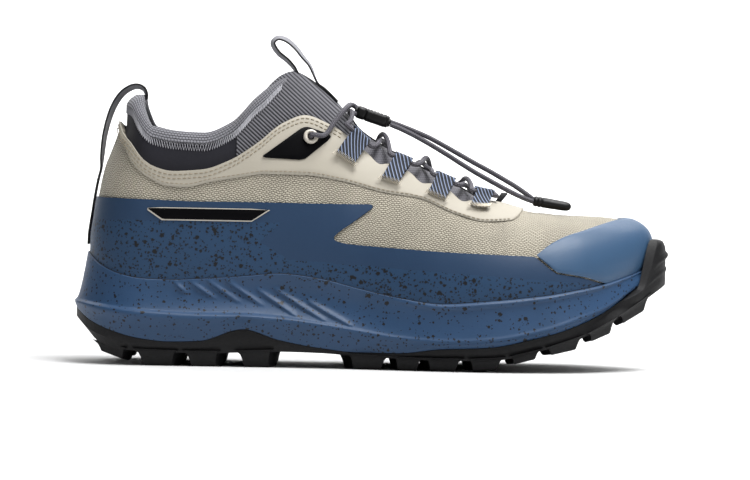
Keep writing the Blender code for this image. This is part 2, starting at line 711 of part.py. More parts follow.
def rib_mesh(row, side):
    """One slanting rib: a bar of three sides that follows the wall and fades into it at its ends."""
    along, up, to_along, to_up = row
    steps = 5
    points = []
    for i in range(steps + 1):
        t = i / steps
        x = LENGTH * (along + (to_along - along) * t)
        z = SOLE_HEIGHT * (up + (to_up - up) * t)
        proud = RIB_PROUD * math.sin(math.pi * t) - 0.5 * RIB_SINK
        for offset, out in ((-0.5, -RIB_SINK), (0.0, proud), (0.5, -RIB_SINK)):
            point = side_wall(x, z + offset * RIB_WIDTH, side)
            point.y += side * out
            points.append(point)
    faces = [(0, 1, 2), (3 * steps, 3 * steps + 1, 3 * steps + 2)]
    for i in range(steps):
        for k in range(3):
            j = (k + 1) % 3
            faces.append((3 * i + k, 3 * i + j, 3 * i + 3 + j, 3 * i + 3 + k))
    return mesh_from("rib", points, faces)


def ease(share, ends):
    """Smooth step from 0 to 1 as a share passes from the first end to the second."""
    t = np.clip((share - ends[0]) / (ends[1] - ends[0]), 0.0, 1.0)
    return t * t * (3.0 - 2.0 * t)


def blend(start, end, share):
    """Mix of two values."""
    return start + (end - start) * share


def outsole_mesh():
    """Rubber sheet under the midsole, turned up over the toe, with its lugs."""
    top = sole_at("seam", X) - GAP
    base = np.minimum(sole_at("base", X), top - SHEET_LEAST)
    swell = ease(TO_TOE, BUMPER_SWELL)
    rise = ease(TO_TOE, BUMPER_CLIMB)
    wall = top + rise * (BUMPER_TOP - top)
    shoulder = wall - rise * BUMPER_ROUND
    edge = (blend(SEAM_INSET[0], BUMPER_EDGE[0], swell), SEAM_INSET[1],
            blend(SEAM_INSET[2], BUMPER_EDGE[2] * (1.0 - rise), swell))
    crown = (edge[0], edge[1], edge[2] + rise * BUMPER_SLOPE)
    back = (blend(SEAM_INSET[0], BUMPER_BACK[0], swell), SEAM_INSET[1],
            blend(SEAM_INSET[2], BUMPER_BACK[2], swell))
    sheet = stack_mesh("outsole", [
        seam_rings(BASE_INSET, base),
        seam_rings(edge, blend(base, top, SHEET_EDGE)),
        seam_rings(edge, np.maximum(shoulder, blend(base, top, SHEET_SHOULDER))),
        seam_rings(crown, wall),
        seam_rings(back, wall),
        seam_rings(back, top),
        seam_rings(SEAM_INSET, top),
    ])
    lugs = []
    for along, long, rear, front in LUGS:
        for side in (-1, 1):
            for inner, outer in (EDGE_LUG, INNER_LUG):
                lugs.append(lug_points(along, long, rear, front, side, inner, outer))
    points = []
    faces = []
    for lug in lugs:
        start = len(points)
        points += lug
        n = len(lug) // 2
        faces.append(tuple(start + i for i in range(n)))
        faces.append(tuple(start + n + i for i in reversed(range(n))))
        faces += [(start + i, start + i + n, start + (i + 1) % n + n, start + (i + 1) % n) for i in range(n)]
    return combine(sheet, mesh_from("lugs", points, faces), "UNION")


def tread_y(x, side, across):
    """Sideways place on the tread at x, across being a share of the way from its middle to its edge."""
    spread = 1.0
    if x > TOE_CENTRE:
        share = min((x - TOE_CENTRE) / (LENGTH - TOE_CENTRE), 1.0)
        spread = (1.0 - share**TOE_SQUARE) ** (1.0 / TOE_SQUARE)
    if x < HEEL_CENTRE:
        share = min((HEEL_CENTRE - x) / (HEEL_CENTRE - BASE_INSET[1]), 1.0)
        spread = (1.0 - share**HEEL_SQUARE) ** (1.0 / HEEL_SQUARE)
    middle = TOE_SHIFT * float(smooth(np.array([0.5, 1.0]), np.array([0.0, 1.0]), x / LENGTH))
    width = float(width_at(side, x)) - BASE_INSET[0]
    return middle + (side * width - middle) * spread * across


def lug_points(along, long, rear, front, side, inner, outer):
    """Lug with its top ring in the sheet and its bottom ring on the ground, arrow-shaped at the edge."""
    x = along * LENGTH
    half = 0.5 * long * LENGTH
    edge_row = outer == EDGE_LUG[1]
    lead = (-LUG_LEAD if edge_row else LUG_LEAD) * half
    if x < LUG_TURN * LENGTH:
        lead = -lead
    middle = 0.5 * (inner + outer)
    corners = [(-1.0, inner, lead), (-1.0, outer, -lead), (LUG_NOTCH, outer, -lead), (LUG_NOTCH, inner, lead)]
    if edge_row:
        corners.insert(1, (-LUG_NOTCH, middle, 0.0))
        corners.insert(4, (1.0, middle, 0.0))
    rings = []
    for draft in (LUG_DRAFT, 1.0):
        for where, across, shift in corners:
            px = (where * half + shift) * draft
            py = tread_y(x + px, side, middle + (across - middle) * draft)
            share = min(max((px + half) / (2.0 * half), 0.0), 1.0)
            pz = SOLE_HEIGHT * blend(rear, front, share)
            if draft == 1.0:
                pz = float(sole_at("base", x + px)) + LUG_SINK
            rings.append(Vector((x + px, py, pz)))
    return rings


def insole_mesh():
    """Footbed on the cup's floor, inside the upper's wall."""
    inset = deeper(leaning(RIM_INSET), LIP + GAP + WALL + 2 * GAP)
    bed = sole_at("bed", X) + GAP
    depth = np.minimum(FOOTBED, np.maximum(FOOTBED_LEAST, FOOTBED_FILL * (sole_at("rim", X) - bed)))
    return stack_mesh("insole", [
        seam_rings(inset, bed),
        seam_rings(inset, bed + FOOTBED_FILL * depth),
        seam_rings(deeper(inset, FOOTBED_ROUND), bed + depth),
    ])


def levels_for(column, clear=0.0):
    """Levels at which a height of the last is reached at every station."""
    rim = sole_at("rim", X)
    tall = last_at("ridge", X) - rim
    return (last_at(column, X) - clear - rim) / tall


def upper_mesh():
    """Hollow shell of the last from the cup's floor to the topline and throat."""
    closed = X >= THROAT_END - 1e-6
    rim = sole_at("rim", X)
    tall = last_at("ridge", X) - rim
    low = (sole_at("bed", X) + GAP - rim) / tall
    high = np.where(closed, 1.0, np.minimum(levels_for("topline"), OPEN_TOP))
    last = len(X) - 1
    return shell_mesh("upper", 0, last, low, high, closed, lambda i, level: 0.0, lambda i, level: WALL)


def overlay_shell(lift, thick):
    """Wall that lies over the upper, lift away from it."""
    closed = X >= THROAT_END - 1e-6
    rim = sole_at("rim", X)
    tall = last_at("ridge", X) - rim
    low = (2.0 * GAP) / tall
    high = np.where(closed, 1.0, np.minimum(levels_for("topline"), OPEN_TOP) - GAP / tall)
    last = len(X) - 1
    return shell_mesh("overlay", 0, last, low, high, closed,
                      lambda i, level: -lift - thick, lambda i, level: -lift)


def overlay_mesh(edge, lift=GAP, thick=FILM, low_y=-BALL_WIDTH, high_y=BALL_WIDTH):
    """Overlay with the outline edge when it is seen from the side."""
    return combine(overlay_shell(lift, thick), prism_mesh("prism", edge, low_y, high_y), "INTERSECT")


def collar_mesh():
    """Padded band round the heel, inside the topline and standing above it."""
    last = int(np.abs(X - CUFF_JOIN).argmin())
    rim = sole_at("rim", X)
    tall = last_at("ridge", X) - rim
    high = levels_for("cuff")
    top = levels_for("topline")
    low = top - COLLAR_TUCK / tall

    def outer(i, level):
        share = (level - low[i]) / (high[i] - low[i])
        roll = max(0.0, (share - ROLL_START) / (1.0 - ROLL_START)) ** 2
        return WALL + GAP + COLLAR_EASE + PADDING * ROLL_OUT * roll

    def inner(i, level):
        share = (level - low[i]) / (high[i] - low[i])
        roll = max(0.0, (share - ROLL_START) / (1.0 - ROLL_START)) ** 2
        bulge = blend(PAD_LEAST, 1.0, math.sin(math.pi * min(max(share, 0.0), 1.0)) ** 0.8)
        return WALL + GAP + COLLAR_EASE + PADDING * (bulge + ROLL_IN * roll)

    return shell_mesh("collar", 0, last, low, high, X < 0.0, outer, inner)


def tongue_depth(x):
    """How far the tongue's face lies inside the last: it dives under the vamp at the throat's end."""
    return WALL + GAP + TONGUE_DIVE * np.clip((x / THROAT_END - 0.90) / 0.10, 0.0, 1.0)


def tongue_mesh():
    """Ribbed knit tongue that grows out of the collar's sides and runs down inside the throat."""
    first = int(np.abs(X - CUFF_JOIN).argmin())
    last = int(np.abs(X - THROAT_END).argmin())
    rim = sole_at("rim", X)
    tall = last_at("ridge", X) - rim
    closed = X >= TONGUE_PEAK - 1e-6
    high = np.where(closed, 1.0, levels_for("cuff"))
    low = np.minimum(levels_for("topline"), 0.97) - TUCK / tall
    outer = tongue_depth(X)
    return shell_mesh("tongue", first, last, low, high, closed,
                      lambda i, level: outer[i], lambda i, level: outer[i] + TONGUE_WALL, GAP)


def eyelet_foot(side):
    """Foot of an eyelet's axis on the film, or on the lateral side's patch, and its direction."""
    x = EYELET_PLACE[0] * LENGTH
    level = float(level_of(x, EYELET_PLACE[1] * UPPER_HEIGHT))
    out = normal_at(x, side, level)
    layers = 2 if side < 0 else 1
    return skin(x, side, level) + out * (layers * (GAP + FILM) + 2 * GAP), out


def eyelet_mesh(side):
    """Plain ring with a round hole, square on the skin."""
    foot, out = eyelet_foot(side)
    across = out.orthogonal().normalized()
    up = out.cross(across)
    sides = 16
    points = []
    for radius, height in ((EYELET_HOLE, 0.0), (EYELET_OUTER, 0.0), (0.78 * EYELET_OUTER, EYELET_TALL),
                           (1.15 * EYELET_HOLE, EYELET_TALL)):
        for k in range(sides):
            turn = 2.0 * math.pi * k / sides
            points.append(foot + radius * (math.cos(turn) * across + math.sin(turn) * up) + out * height)
    faces = []
    for ring in range(4):
        for k in range(sides):
            j = (k + 1) % sides
            after = (ring + 1) % 4
            faces.append((ring * sides + k, ring * sides + j, after * sides + j, after * sides + k))
    return mesh_from("eyelet", points, faces)


def loop_frame(number, side):
    """Function that gives a point of a lace loop from its run up the skin, height and width."""

    def place(along, high, wide):
        x = LOOPS[number][0] * LENGTH + wide
        edge = float(level_of(x, last_at("topline", x)))
        levels = np.linspace(edge - 0.25, 1.0, 40)
        arc = section(np.full(40, x), 0.0, np.zeros(40), 1.0, side, levels, 0.0)
        run = np.concatenate(([0.0], np.cumsum(np.linalg.norm(np.diff(arc, axis=0), axis=1))))
        start = float(np.interp(edge, levels, run)) + LOOP_OVER - LOOPS[number][1] * BALL_WIDTH
        level = float(np.interp(start + along, run, levels))
        out = normal_at(x, side, min(level, 0.97))
        return skin(x, side, level) + out * (high + FILM + 3.0 * GAP)

    return place


def loop_mesh(number, side):
    """Tape folded over the lace: a flat hairpin with a round bend."""
    place = loop_frame(number, side)
    hole = 0.5 * LACE_DIAMETER + LOOP_CLEAR
    outer = hole + LOOP_TAPE
    centre = LOOPS[number][1] * BALL_WIDTH
    outside = [(0.0, 0.0), (0.5 * centre, 0.0)]
    inside = [(0.45 * centre, LOOP_TAPE), (0.62 * centre, LOOP_TAPE)]
    turns = 6
    for k in range(turns + 1):
        turn = math.pi * (k / turns - 0.5)
        outside.append((centre + outer * math.cos(turn), outer + outer * math.sin(turn)))
        inside.append((centre + hole * math.cos(turn), outer + hole * math.sin(turn)))
    outside += [(0.5 * centre, 3.0 * LOOP_TAPE), (0.0, 2.0 * LOOP_TAPE)]
    inside += [(0.68 * centre, outer), (0.45 * centre, 1.6 * LOOP_TAPE)]
    n = len(outside)
    points = []
    for wide in (-0.5 * LOOP_WIDE, 0.5 * LOOP_WIDE):
        for ring in (outside, inside):
            points += [place(a, h, wide) for a, h in ring]
    faces = []
    for i in range(n):
        j = (i + 1) % n
        faces.append((i, j, n + j, n + i))
        faces.append((2 * n + i, 2 * n + j, 3 * n + j, 3 * n + i))
        faces.append((i, j, 2 * n + j, 2 * n + i))
        faces.append((n + i, n + j, 3 * n + j, 3 * n + i))
    return mesh_from("loop", points, faces)


def loop_eye(number, side, share):
    """Point on the straight line through a loop's bend: share is 0 at its rear and 1 at its front."""
    outer = 0.5 * LACE_DIAMETER + LOOP_CLEAR + LOOP_TAPE
    place = loop_frame(number, side)
    rear = place(LOOPS[number][1] * BALL_WIDTH, outer, -0.5 * LOOP_WIDE)
    front = place(LOOPS[number][1] * BALL_WIDTH, outer, 0.5 * LOOP_WIDE)
    return rear.lerp(front, share)


def over(x, y, lift):
    """Point at a height above the last, where its skin stands at x and y."""
    middle = float(last_at("centre", x))
    side = 1 if y > middle else -1
    square = float(last_at("square", x))
    half = float(width_at(side, x) - RIM_INSET[0] * sole_at("lean", x)) - LIP - GAP
    closing = min(abs(y - middle) / abs(side * half - middle), 1.0)
    level = (1.0 - closing**square) ** (1.0 / square)
    return skin(x, side, level) + normal_at(x, side, min(level, 0.97)) * lift


def strand(start, end, lifts, bow=1.0):
    """Points of a lace over the last between two points, at one lift each. bow bends its sideways run."""
    return [over(blend(start.x, end.x, share), blend(start.y, end.y, share**bow), 0.5 * LACE_DIAMETER + lift)
            for share, lift in zip(STRAND_SHARES, lifts)]


def in_shoe(place):
    """Point from shares of the shoe's length, width and height."""
    return Vector((place[0] * LENGTH, place[1] * BALL_WIDTH, place[2] * UPPER_HEIGHT))


def lock_frame():
    """Centre, forward, sideways and upward directions of the lace lock."""
    centre = Vector((LOCK_PLACE[0] * LENGTH, 0.024 * BALL_WIDTH, LOCK_PLACE[1] * UPPER_HEIGHT))
    ahead = Vector((math.cos(LOCK_TILT), 0.0, -math.sin(LOCK_TILT)))
    up = Vector((math.sin(LOCK_TILT), 0.0, math.cos(LOCK_TILT)))
    return centre, ahead, Vector((0.0, 1.0, 0.0)), up


def crossings_mesh():
    """The lace from the lock down through the loops and back, one strand humped over the other."""
    centre, ahead, across, up = lock_frame()
    edge = [EDGE_STRAND] * len(STRAND_SHARES)
    low = [EDGE_STRAND, LOW_STRAND, LOW_STRAND, LOW_STRAND, EDGE_STRAND]
    high = [EDGE_STRAND, HIGH_STRAND, HIGH_STRAND, HIGH_STRAND, EDGE_STRAND]
    down = [(0, -1), (1, 1), (2, -1), (3, 1)]
    back = [(3, -1), (2, 1), (1, -1), (0, 1)]
    ends = [centre - ahead * (0.5 * LOCK_LONG + LACE_STOP) + across * (STRAND_OUTER * side) - up * STRAND_DROP
            for side in (-1, 1)]
    turns = [end - ahead * LACE_TURN for end in ends]
    eyes = [loop_eye(0, side, FIRST_EYE) for side in (-1, 1)]
    route = [ends[0], turns[0]] + strand(turns[0], eyes[0], edge)[1:4:2] + [eyes[0]]
    for position, (number, side) in enumerate(down):
        route += [loop_eye(number, side, share) for share in EYE_SHARES]
        if position < 3:
            route += strand(route[-1], loop_eye(number + 1, -side, EYE_SHARES[0]), low)
    for y, ahead_of_loops in zip((0.5 * route[-1].y, 0.0, -0.5 * route[-1].y), LACE_BAR):
        route.append(over(LOOPS[3][0] * LENGTH + ahead_of_loops, y, 0.5 * LACE_DIAMETER + EDGE_STRAND))
    for position, (number, side) in enumerate(back):
        route += [loop_eye(number, side, share) for share in reversed(EYE_SHARES)]
        if position < 3:
            route += strand(route[-1], loop_eye(number - 1, -side, EYE_SHARES[3]), high)
    route += [eyes[1]] + strand(eyes[1], turns[1], edge)[1:4:2] + [turns[1], ends[1]]
    return tube_mesh("lace", rounded(route), 0.5 * LACE_DIAMETER, 6)


def riser_mesh(side):
    """Strand from an eyelet over the throat's edge up to the rear of the lock."""
    foot, out = eyelet_foot(side)
    centre, ahead, across, up = lock_frame()
    last = centre - ahead * (0.5 * LOCK_LONG + LACE_STOP) + across * (STRAND_INNER * side) + up * STRAND_DROP
    turn = last - ahead * LACE_TURN + up * STRAND_DROP
    spots = strand(foot, turn, RISER_LIFTS, RISER_BOW)
    route = [foot, foot + out * (1.4 * EYELET_TALL), foot + out * (3.1 * EYELET_TALL)]
    return tube_mesh("riser", rounded(route + spots[1:4] + [turn, last]), 0.5 * LACE_DIAMETER, 6)


def lock_mesh():
    """Two-part toggle: a bevelled block with grip ribs across its top."""
    centre, ahead, across, up = lock_frame()
    body = bmesh.new()
    bmesh.ops.create_cube(body, size=1.0)
    for vertex in body.verts:
        vertex.co = Vector((vertex.co.x * LOCK_LONG, vertex.co.y * LOCK_WIDE, vertex.co.z * LOCK_TALL))
    bmesh.ops.bevel(body, geom=body.edges[:], offset=0.0012, segments=2, affect="EDGES")
    for vertex in body.verts:
        p = vertex.co.copy()
        vertex.co = centre + ahead * p.x + across * p.y + up * p.z
    bmesh.ops.recalc_face_normals(body, faces=body.faces)
    mesh = bpy.data.meshes.new("lock")
    body.to_mesh(mesh)
    body.free()
    return mesh


def grip_mesh():
    """Rubber grip that joins the tails: a turned plug, wider at its rear."""
    start = in_shoe(GRIP_START)
    ahead = in_shoe(GRIP_END) - start
    long = ahead.length
    ahead.normalize()
    across = Vector((0.0, 1.0, 0.0))
    up = ahead.cross(across)
    sides = 10
    points = []
    for share, size in GRIP_PROFILE:
        for k in range(sides):
            turn = 2.0 * math.pi * k / sides
            spot = GRIP_FLAT * math.cos(turn) * across + math.sin(turn) * up
            points.append(start + ahead * (share * long) + spot * (size * GRIP_RADIUS))
    faces = [tuple(range(sides)), tuple(range(len(points) - sides, len(points)))]
    for i in range(len(GRIP_PROFILE) - 1):
        for k in range(sides):
            j = (k + 1) % sides
            faces.append((i * sides + k, i * sides + j, (i + 1) * sides + j, (i + 1) * sides + k))
    return mesh_from("grip", points, faces)


def heel_loop_mesh():
    """Tape up the back of the heel, over in a small loop and down to the collar's top."""
    lift = GAP + FILM + GAP + 0.5 * TAPE
    heights = np.linspace(HEEL_TAPE_LOW * SOLE_HEIGHT, HEEL_TAPE_HIGH * UPPER_HEIGHT, 9)
    route = [(float(heel_inset(z)) - lift, 0.0, z) for z in heights]
    route += [(a * LENGTH, 0.0, b * UPPER_HEIGHT) for a, b in HEEL_TAPE_ARC]
    return ribbon_mesh("heel_loop", spline(route, TAPE_STATIONS), HEEL_TAPE_WIDE, TAPE)


def tongue_loop_mesh():
    """Tape on the tongue's front that stands up in a loop behind its top edge."""
    lift = 0.5 * TAPE + GAP - WALL
    route = []
    for share in TONGUE_TAPE_FOOT:
        spot = skin(share * LENGTH, 1, 1.0) + normal_at(share * LENGTH, 1, 0.97) * lift
        route.append((spot.x, 0.0, spot.z))
    route += [(a * LENGTH, 0.0, b * UPPER_HEIGHT) for a, b in TONGUE_TAPE_ARC]
    return ribbon_mesh("tongue_loop", spline(route, TAPE_STATIONS), TONGUE_TAPE_WIDE, TAPE)


def keeper_mesh():
    """Small elastic strap over a tail: it stands on the tongue's end and leans forward."""
    x = KEEPER_ALONG * LENGTH
    steps = 9
    points = []
    for share in np.linspace(0.0, 1.0, steps):
        turn = math.pi * share
        y = KEEPER_REACH * math.cos(turn)
        h = KEEPER_TALL * math.sin(turn) ** 0.7
        foot = skin(x, 1, 1.0, tongue_depth(x)).z + KEEPER_CLEAR
        for thick in (0.0, KEEPER_TAPE):
            for wide in (-0.5, 0.5):
                points.append(Vector((x + wide * KEEPER_WIDE + KEEPER_LEAN * h,
                                      KEEPER_MIDDLE + y * (1.0 + thick / KEEPER_REACH),
                                      foot + h + thick * math.sin(turn))))
    faces = [(0, 1, 3, 2), (len(points) - 4, len(points) - 3, len(points) - 1, len(points) - 2)]
    for i in range(steps - 1):
        for a, b in ((0, 1), (1, 3), (3, 2), (2, 0)):
            faces.append((4 * i + a, 4 * i + b, 4 * i + 4 + b, 4 * i + 4 + a))
    return mesh_from("keeper", points, faces)


def make_cord(name, route, material):
    """Free cord: a curve with a round bevel and closed ends."""
    curve = bpy.data.curves.new(name, "CURVE")
    curve.dimensions = "3D"
    points = spline([in_shoe(p) for p in route], CORD_POINTS)
    line = curve.splines.new("POLY")
    line.points.add(len(points) - 1)
    for place, point in zip(line.points, points):
        place.co = (*point, 1.0)
    curve.bevel_depth = 0.5 * LACE_DIAMETER
    curve.bevel_resolution = 2
    curve.use_fill_caps = True
    curve.materials.append(material)
    thing = bpy.data.objects.new(name, curve)
    bpy.context.scene.collection.objects.link(thing)
    return thing


def clear_scene():
    """Remove what the scene already holds."""
    for thing in list(bpy.data.objects):
        bpy.data.objects.remove(thing)


def stand_on_origin(things):
    """Move everything so that the middle of the shoe's box stands on the origin."""
    bpy.context.view_layer.update()
    graph = bpy.context.evaluated_depsgraph_get()
    low = Vector((9.0, 9.0, 9.0))
    high = -low
    for thing in things:
        if thing.type != "MESH":
            continue
        for vertex in thing.evaluated_get(graph).data.vertices:
            for k in range(3):
                low[k] = min(low[k], vertex.co[k])
                high[k] = max(high[k], vertex.co[k])
    for thing in things:
        thing.location = (-0.5 * (low.x + high.x), -0.5 * (low.y + high.y), -low.z)


def build():
    """Make every piece of the shoe."""
    clear_scene()
    rubber = paint("black_rubber", (0.012, 0.012, 0.013), 0.75)
    foam = paint("blue_foam", (0.045, 0.100, 0.235), 0.60)
    bed = paint("grey_foam", (0.10, 0.10, 0.11), 0.85)
    mesh = paint("cream_mesh", (0.57, 0.51, 0.42), 0.85)
    film = paint("cream_film", (0.61, 0.56, 0.49), 0.55)
    guard = paint("blue_film", (0.040, 0.085, 0.180), 0.50)
    cap = paint("toe_film", (0.065, 0.140, 0.300), 0.35)
    lining = paint("collar_cloth", (0.047, 0.045, 0.062), 0.70)
    knit = paint("grey_knit", (0.085, 0.087, 0.100), 0.90)
    black = paint("black_film", (0.015, 0.014, 0.018), 0.55)
    webbing = paint("striped_webbing", (0.010, 0.018, 0.040), 0.70)
    lace = paint("grey_lace", (0.095, 0.090, 0.105), 0.80)
    plastic = paint("black_plastic", (0.010, 0.010, 0.011), 0.45)
    ring = paint("cream_ring", (0.60, 0.56, 0.50), 0.40)

    patch = overlay_mesh(PATCH_EDGE, GAP + FILM + GAP, FILM, -BALL_WIDTH, 0.0)
    things = [
        new_object("outsole", outsole_mesh(), rubber),
        new_object("midsole", midsole_mesh(), foam),
        new_object("insole", insole_mesh(), bed),
        new_object("upper", upper_mesh(), mesh),
        new_object("mudguard", overlay_mesh(MUDGUARD_EDGE), guard),
        new_object("toe_cap", overlay_mesh(TOE_CAP_EDGE), cap),
        new_object("eyestay", overlay_mesh(EYESTAY_EDGE), film),
        new_object("collar", collar_mesh(), lining),
        new_object("tongue", tongue_mesh(), knit),
        new_object("heel_pull_loop", heel_loop_mesh(), black),
        new_object("tongue_pull_loop", tongue_loop_mesh(), black),
        new_object("lace_crossings", crossings_mesh(), lace),
        new_object("lace_lock", lock_mesh(), plastic),
        new_object("lace_keeper", keeper_mesh(), black),
        new_object("cord_end", grip_mesh(), plastic),
        new_object("eyelet_patch_lateral", patch, black),
        make_cord("lace_tail_upper", TAIL_UPPER_ROUTE, lace),
        make_cord("lace_tail_lower", TAIL_LOWER_ROUTE, lace),
    ]
    for side, word in ((-1, "lateral"), (1, "medial")):
        things.append(new_object("eyelet_" + word, eyelet_mesh(side), ring))
        things.append(new_object("lace_riser_" + word, riser_mesh(side), lace))
        for number in range(len(LOOPS)):
            thing = new_object(f"lace_loop_{word}_{number + 1}", loop_mesh(number, side), webbing)
            things.append(thing)
    stand_on_origin(things)


build()
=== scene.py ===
"""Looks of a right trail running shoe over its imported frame, toe to +X, outer side to -Y.

The upper and all that is sewn or bonded to it are read from one form, ShoeForm.skin(), which
gives a point of the last from a station along the foot, an angle up its side and a depth
inwards. The sole pieces are profiles carried round the sole's outline. All lengths are metres.
"""

import logging
import math
from dataclasses import dataclass, field
from enum import Enum, IntEnum
from typing import Callable, Optional, Sequence

import bmesh
import bpy
import numpy as np
from bpy.types import Material, Node, NodeSocket, NodeTree, Object
from mathutils import Matrix, Vector


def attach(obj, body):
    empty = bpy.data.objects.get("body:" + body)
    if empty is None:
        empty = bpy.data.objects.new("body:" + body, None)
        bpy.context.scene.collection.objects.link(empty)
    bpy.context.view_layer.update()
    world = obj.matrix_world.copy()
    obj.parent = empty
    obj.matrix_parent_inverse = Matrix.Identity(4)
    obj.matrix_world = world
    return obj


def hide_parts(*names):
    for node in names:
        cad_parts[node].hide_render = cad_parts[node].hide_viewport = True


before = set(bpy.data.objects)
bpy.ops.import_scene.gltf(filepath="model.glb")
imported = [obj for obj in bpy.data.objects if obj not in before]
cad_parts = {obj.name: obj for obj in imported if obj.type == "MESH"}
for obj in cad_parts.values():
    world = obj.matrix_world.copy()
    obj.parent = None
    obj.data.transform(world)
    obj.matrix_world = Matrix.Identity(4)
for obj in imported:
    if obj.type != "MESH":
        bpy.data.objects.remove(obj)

LOG = logging.getLogger("shoe")
Array = np.ndarray
SHIFT = np.array([-0.1505, 0.00053344, 0.0])
QUARTER = 0.5 * math.pi


class Side(IntEnum):
    """Side of the foot, as the sign of Y."""

    LATERAL = -1
    MEDIAL = 1


class Pattern(Enum):
    """What mixes a finish's two colours."""

    MOTTLE = "mottle"
    WEAVE = "weave"
    RIBS = "ribs"


def smooth(xs: Array, ys: Array, x: Array) -> Array:
    """Monotone cubic through (xs, ys), flat past its ends: Hermite pieces with harmonic slopes.

    Args:
        xs: rising places.
        ys: values there.
        x: places to read.

    Returns:
        The values at x.
    """
    x = np.clip(np.asarray(x, dtype=float), xs[0], xs[-1])
    h = np.diff(xs)
    d = np.diff(ys) / h
    slope = np.zeros_like(ys)
    same = d[:-1] * d[1:] > 0.0
    weight_a = 2.0 * h[1:] + h[:-1]
    weight_b = h[1:] + 2.0 * h[:-1]
    mean = (weight_a + weight_b) / (
        weight_a / np.where(same, d[:-1], 1.0) + weight_b / np.where(same, d[1:], 1.0)
    )
    slope[1:-1] = np.where(same, mean, 0.0)
    slope[0], slope[-1] = d[0], d[-1]
    i = np.clip(np.searchsorted(xs, x, side="right") - 1, 0, len(h) - 1)
    t = (x - xs[i]) / h[i]
    return (
        (1 + 2 * t) * (1 - t) ** 2 * ys[i]
        + t * (1 - t) ** 2 * h[i] * slope[i]
        + t * t * (3 - 2 * t) * ys[i + 1]
        + t * t * (t - 1) * h[i] * slope[i + 1]
    )


def ease(x: Array, low: float, high: float) -> Array:
    """Smooth step from 0 at low to 1 at high: three t squared less two t cubed.

    Args:
        x: places to read.
        low: where the step starts.
        high: where it ends.

    Returns:
        The step's values at x.
    """
    t = np.clip((np.asarray(x, dtype=float) - low) / (high - low), 0.0, 1.0)
    return t * t * (3.0 - 2.0 * t)


def bell(x: Array, middle: float, wide: float) -> Array:
    """Bell curve, 1 in its middle: e to the minus square of the distance over the width."""
    return np.exp(-(((x - middle) / wide) ** 2))


SOLE = np.array([
    (0.000, 0.800, 0.785, 0.995, 0.790, 0.575, 0.500, 0.330, 1.00),
    (0.030, 0.803, 0.785, 0.885, 0.720, 0.550, 0.390, 0.205, 1.00),
    (0.066, 0.805, 0.785, 0.815, 0.655, 0.525, 0.312, 0.150, 1.00),
    (0.116, 0.810, 0.782, 0.773, 0.622, 0.500, 0.246, 0.128, 1.00),
    (0.166, 0.808, 0.765, 0.765, 0.607, 0.485, 0.220, 0.122, 1.00),
    (0.216, 0.800, 0.730, 0.778, 0.607, 0.476, 0.230, 0.118, 1.00),
    (0.289, 0.785, 0.665, 0.808, 0.616, 0.478, 0.340, 0.130, 1.00),
    (0.349, 0.780, 0.620, 0.836, 0.616, 0.460, 0.250, 0.143, 1.00),
    (0.415, 0.790, 0.600, 0.797, 0.590, 0.415, 0.187, 0.138, 0.95),
    (0.482, 0.822, 0.625, 0.714, 0.536, 0.360, 0.154, 0.118, 0.85),
    (0.548, 0.893, 0.712, 0.641, 0.482, 0.310, 0.156, 0.106, 0.72),
    (0.615, 0.964, 0.828, 0.597, 0.446, 0.290, 0.200, 0.100, 0.62),
    (0.698, 1.000, 0.945, 0.630, 0.464, 0.310, 0.225, 0.104, 0.60),
    (0.781, 0.965, 0.982, 0.680, 0.518, 0.395, 0.320, 0.196, 0.60),
    (0.847, 0.890, 0.945, 0.735, 0.607, 0.500, 0.420, 0.304, 0.60),
    (0.904, 0.790, 0.870, 0.790, 0.690, 0.610, 0.545, 0.455, 0.60),
    (0.953, 0.690, 0.790, 0.862, 0.800, 0.750, 0.705, 0.625, 0.60),
    (1.000, 0.600, 0.710, 0.940, 0.910, 0.905, 0.885, 0.790, 0.60),
])
SOLE_COLUMNS = ("along", "lateral", "medial", "rim", "bed", "crease", "seam", "base", "lean")
LAST = np.array([
    (0.000, 1.085, 0.813, 0.903, 2.60, 0.000), (0.030, 1.085, 0.773, 0.893, 2.60, 0.000),
    (0.066, 1.085, 0.740, 0.850, 2.60, 0.000), (0.116, 1.085, 0.680, 0.805, 2.60, 0.000),
    (0.166, 1.085, 0.649, 0.783, 2.55, 0.000), (0.216, 1.082, 0.656, 0.778, 2.50, 0.002),
    (0.262, 1.072, 0.689, 0.815, 2.40, 0.006), (0.305, 1.055, 0.745, 0.905, 2.30, 0.010),
    (0.349, 1.028, 0.816, 0.970, 2.15, 0.014), (0.385, 0.995, 0.843, 0.985, 2.05, 0.018),
    (0.425, 0.935, 0.815, 0.935, 2.00, 0.021), (0.457, 0.867, 0.776, 0.867, 1.98, 0.023),
    (0.475, 0.819, 0.743, 0.819, 1.97, 0.024), (0.515, 0.764, 0.699, 0.764, 1.97, 0.026),
    (0.555, 0.719, 0.667, 0.719, 2.00, 0.028), (0.625, 0.650, 0.603, 0.650, 2.08, 0.032),
    (0.680, 0.594, 0.565, 0.594, 2.15, 0.035), (0.724, 0.556, 0.552, 0.556, 2.25, 0.038),
    (0.781, 0.530, 0.530, 0.530, 2.35, 0.042), (0.860, 0.524, 0.524, 0.524, 2.40, 0.045),
    (1.000, 0.522, 0.522, 0.522, 2.40, 0.045),
])
LAST_COLUMNS = ("along", "ridge", "topline", "cuff", "square", "centre")
BACK = np.array([
    (0.25, 0.0285), (0.37, 0.0275), (0.42, 0.0280), (0.50, 0.0330), (0.58, 0.0390), (0.66, 0.0475),
    (0.71, 0.0570), (0.76, 0.0660), (0.81, 0.0730), (0.87, 0.0735), (0.91, 0.0790), (1.10, 0.1000),
])
SEAM_INSET = (0.0026, 0.0010, 0.0086)
SHELF_INSET = (0.0, 0.0, 0.0074)
STEP_INSET = (0.0016, 0.0014, 0.0076)
WALL_INSET = (0.0036, 0.0044, 0.0078)
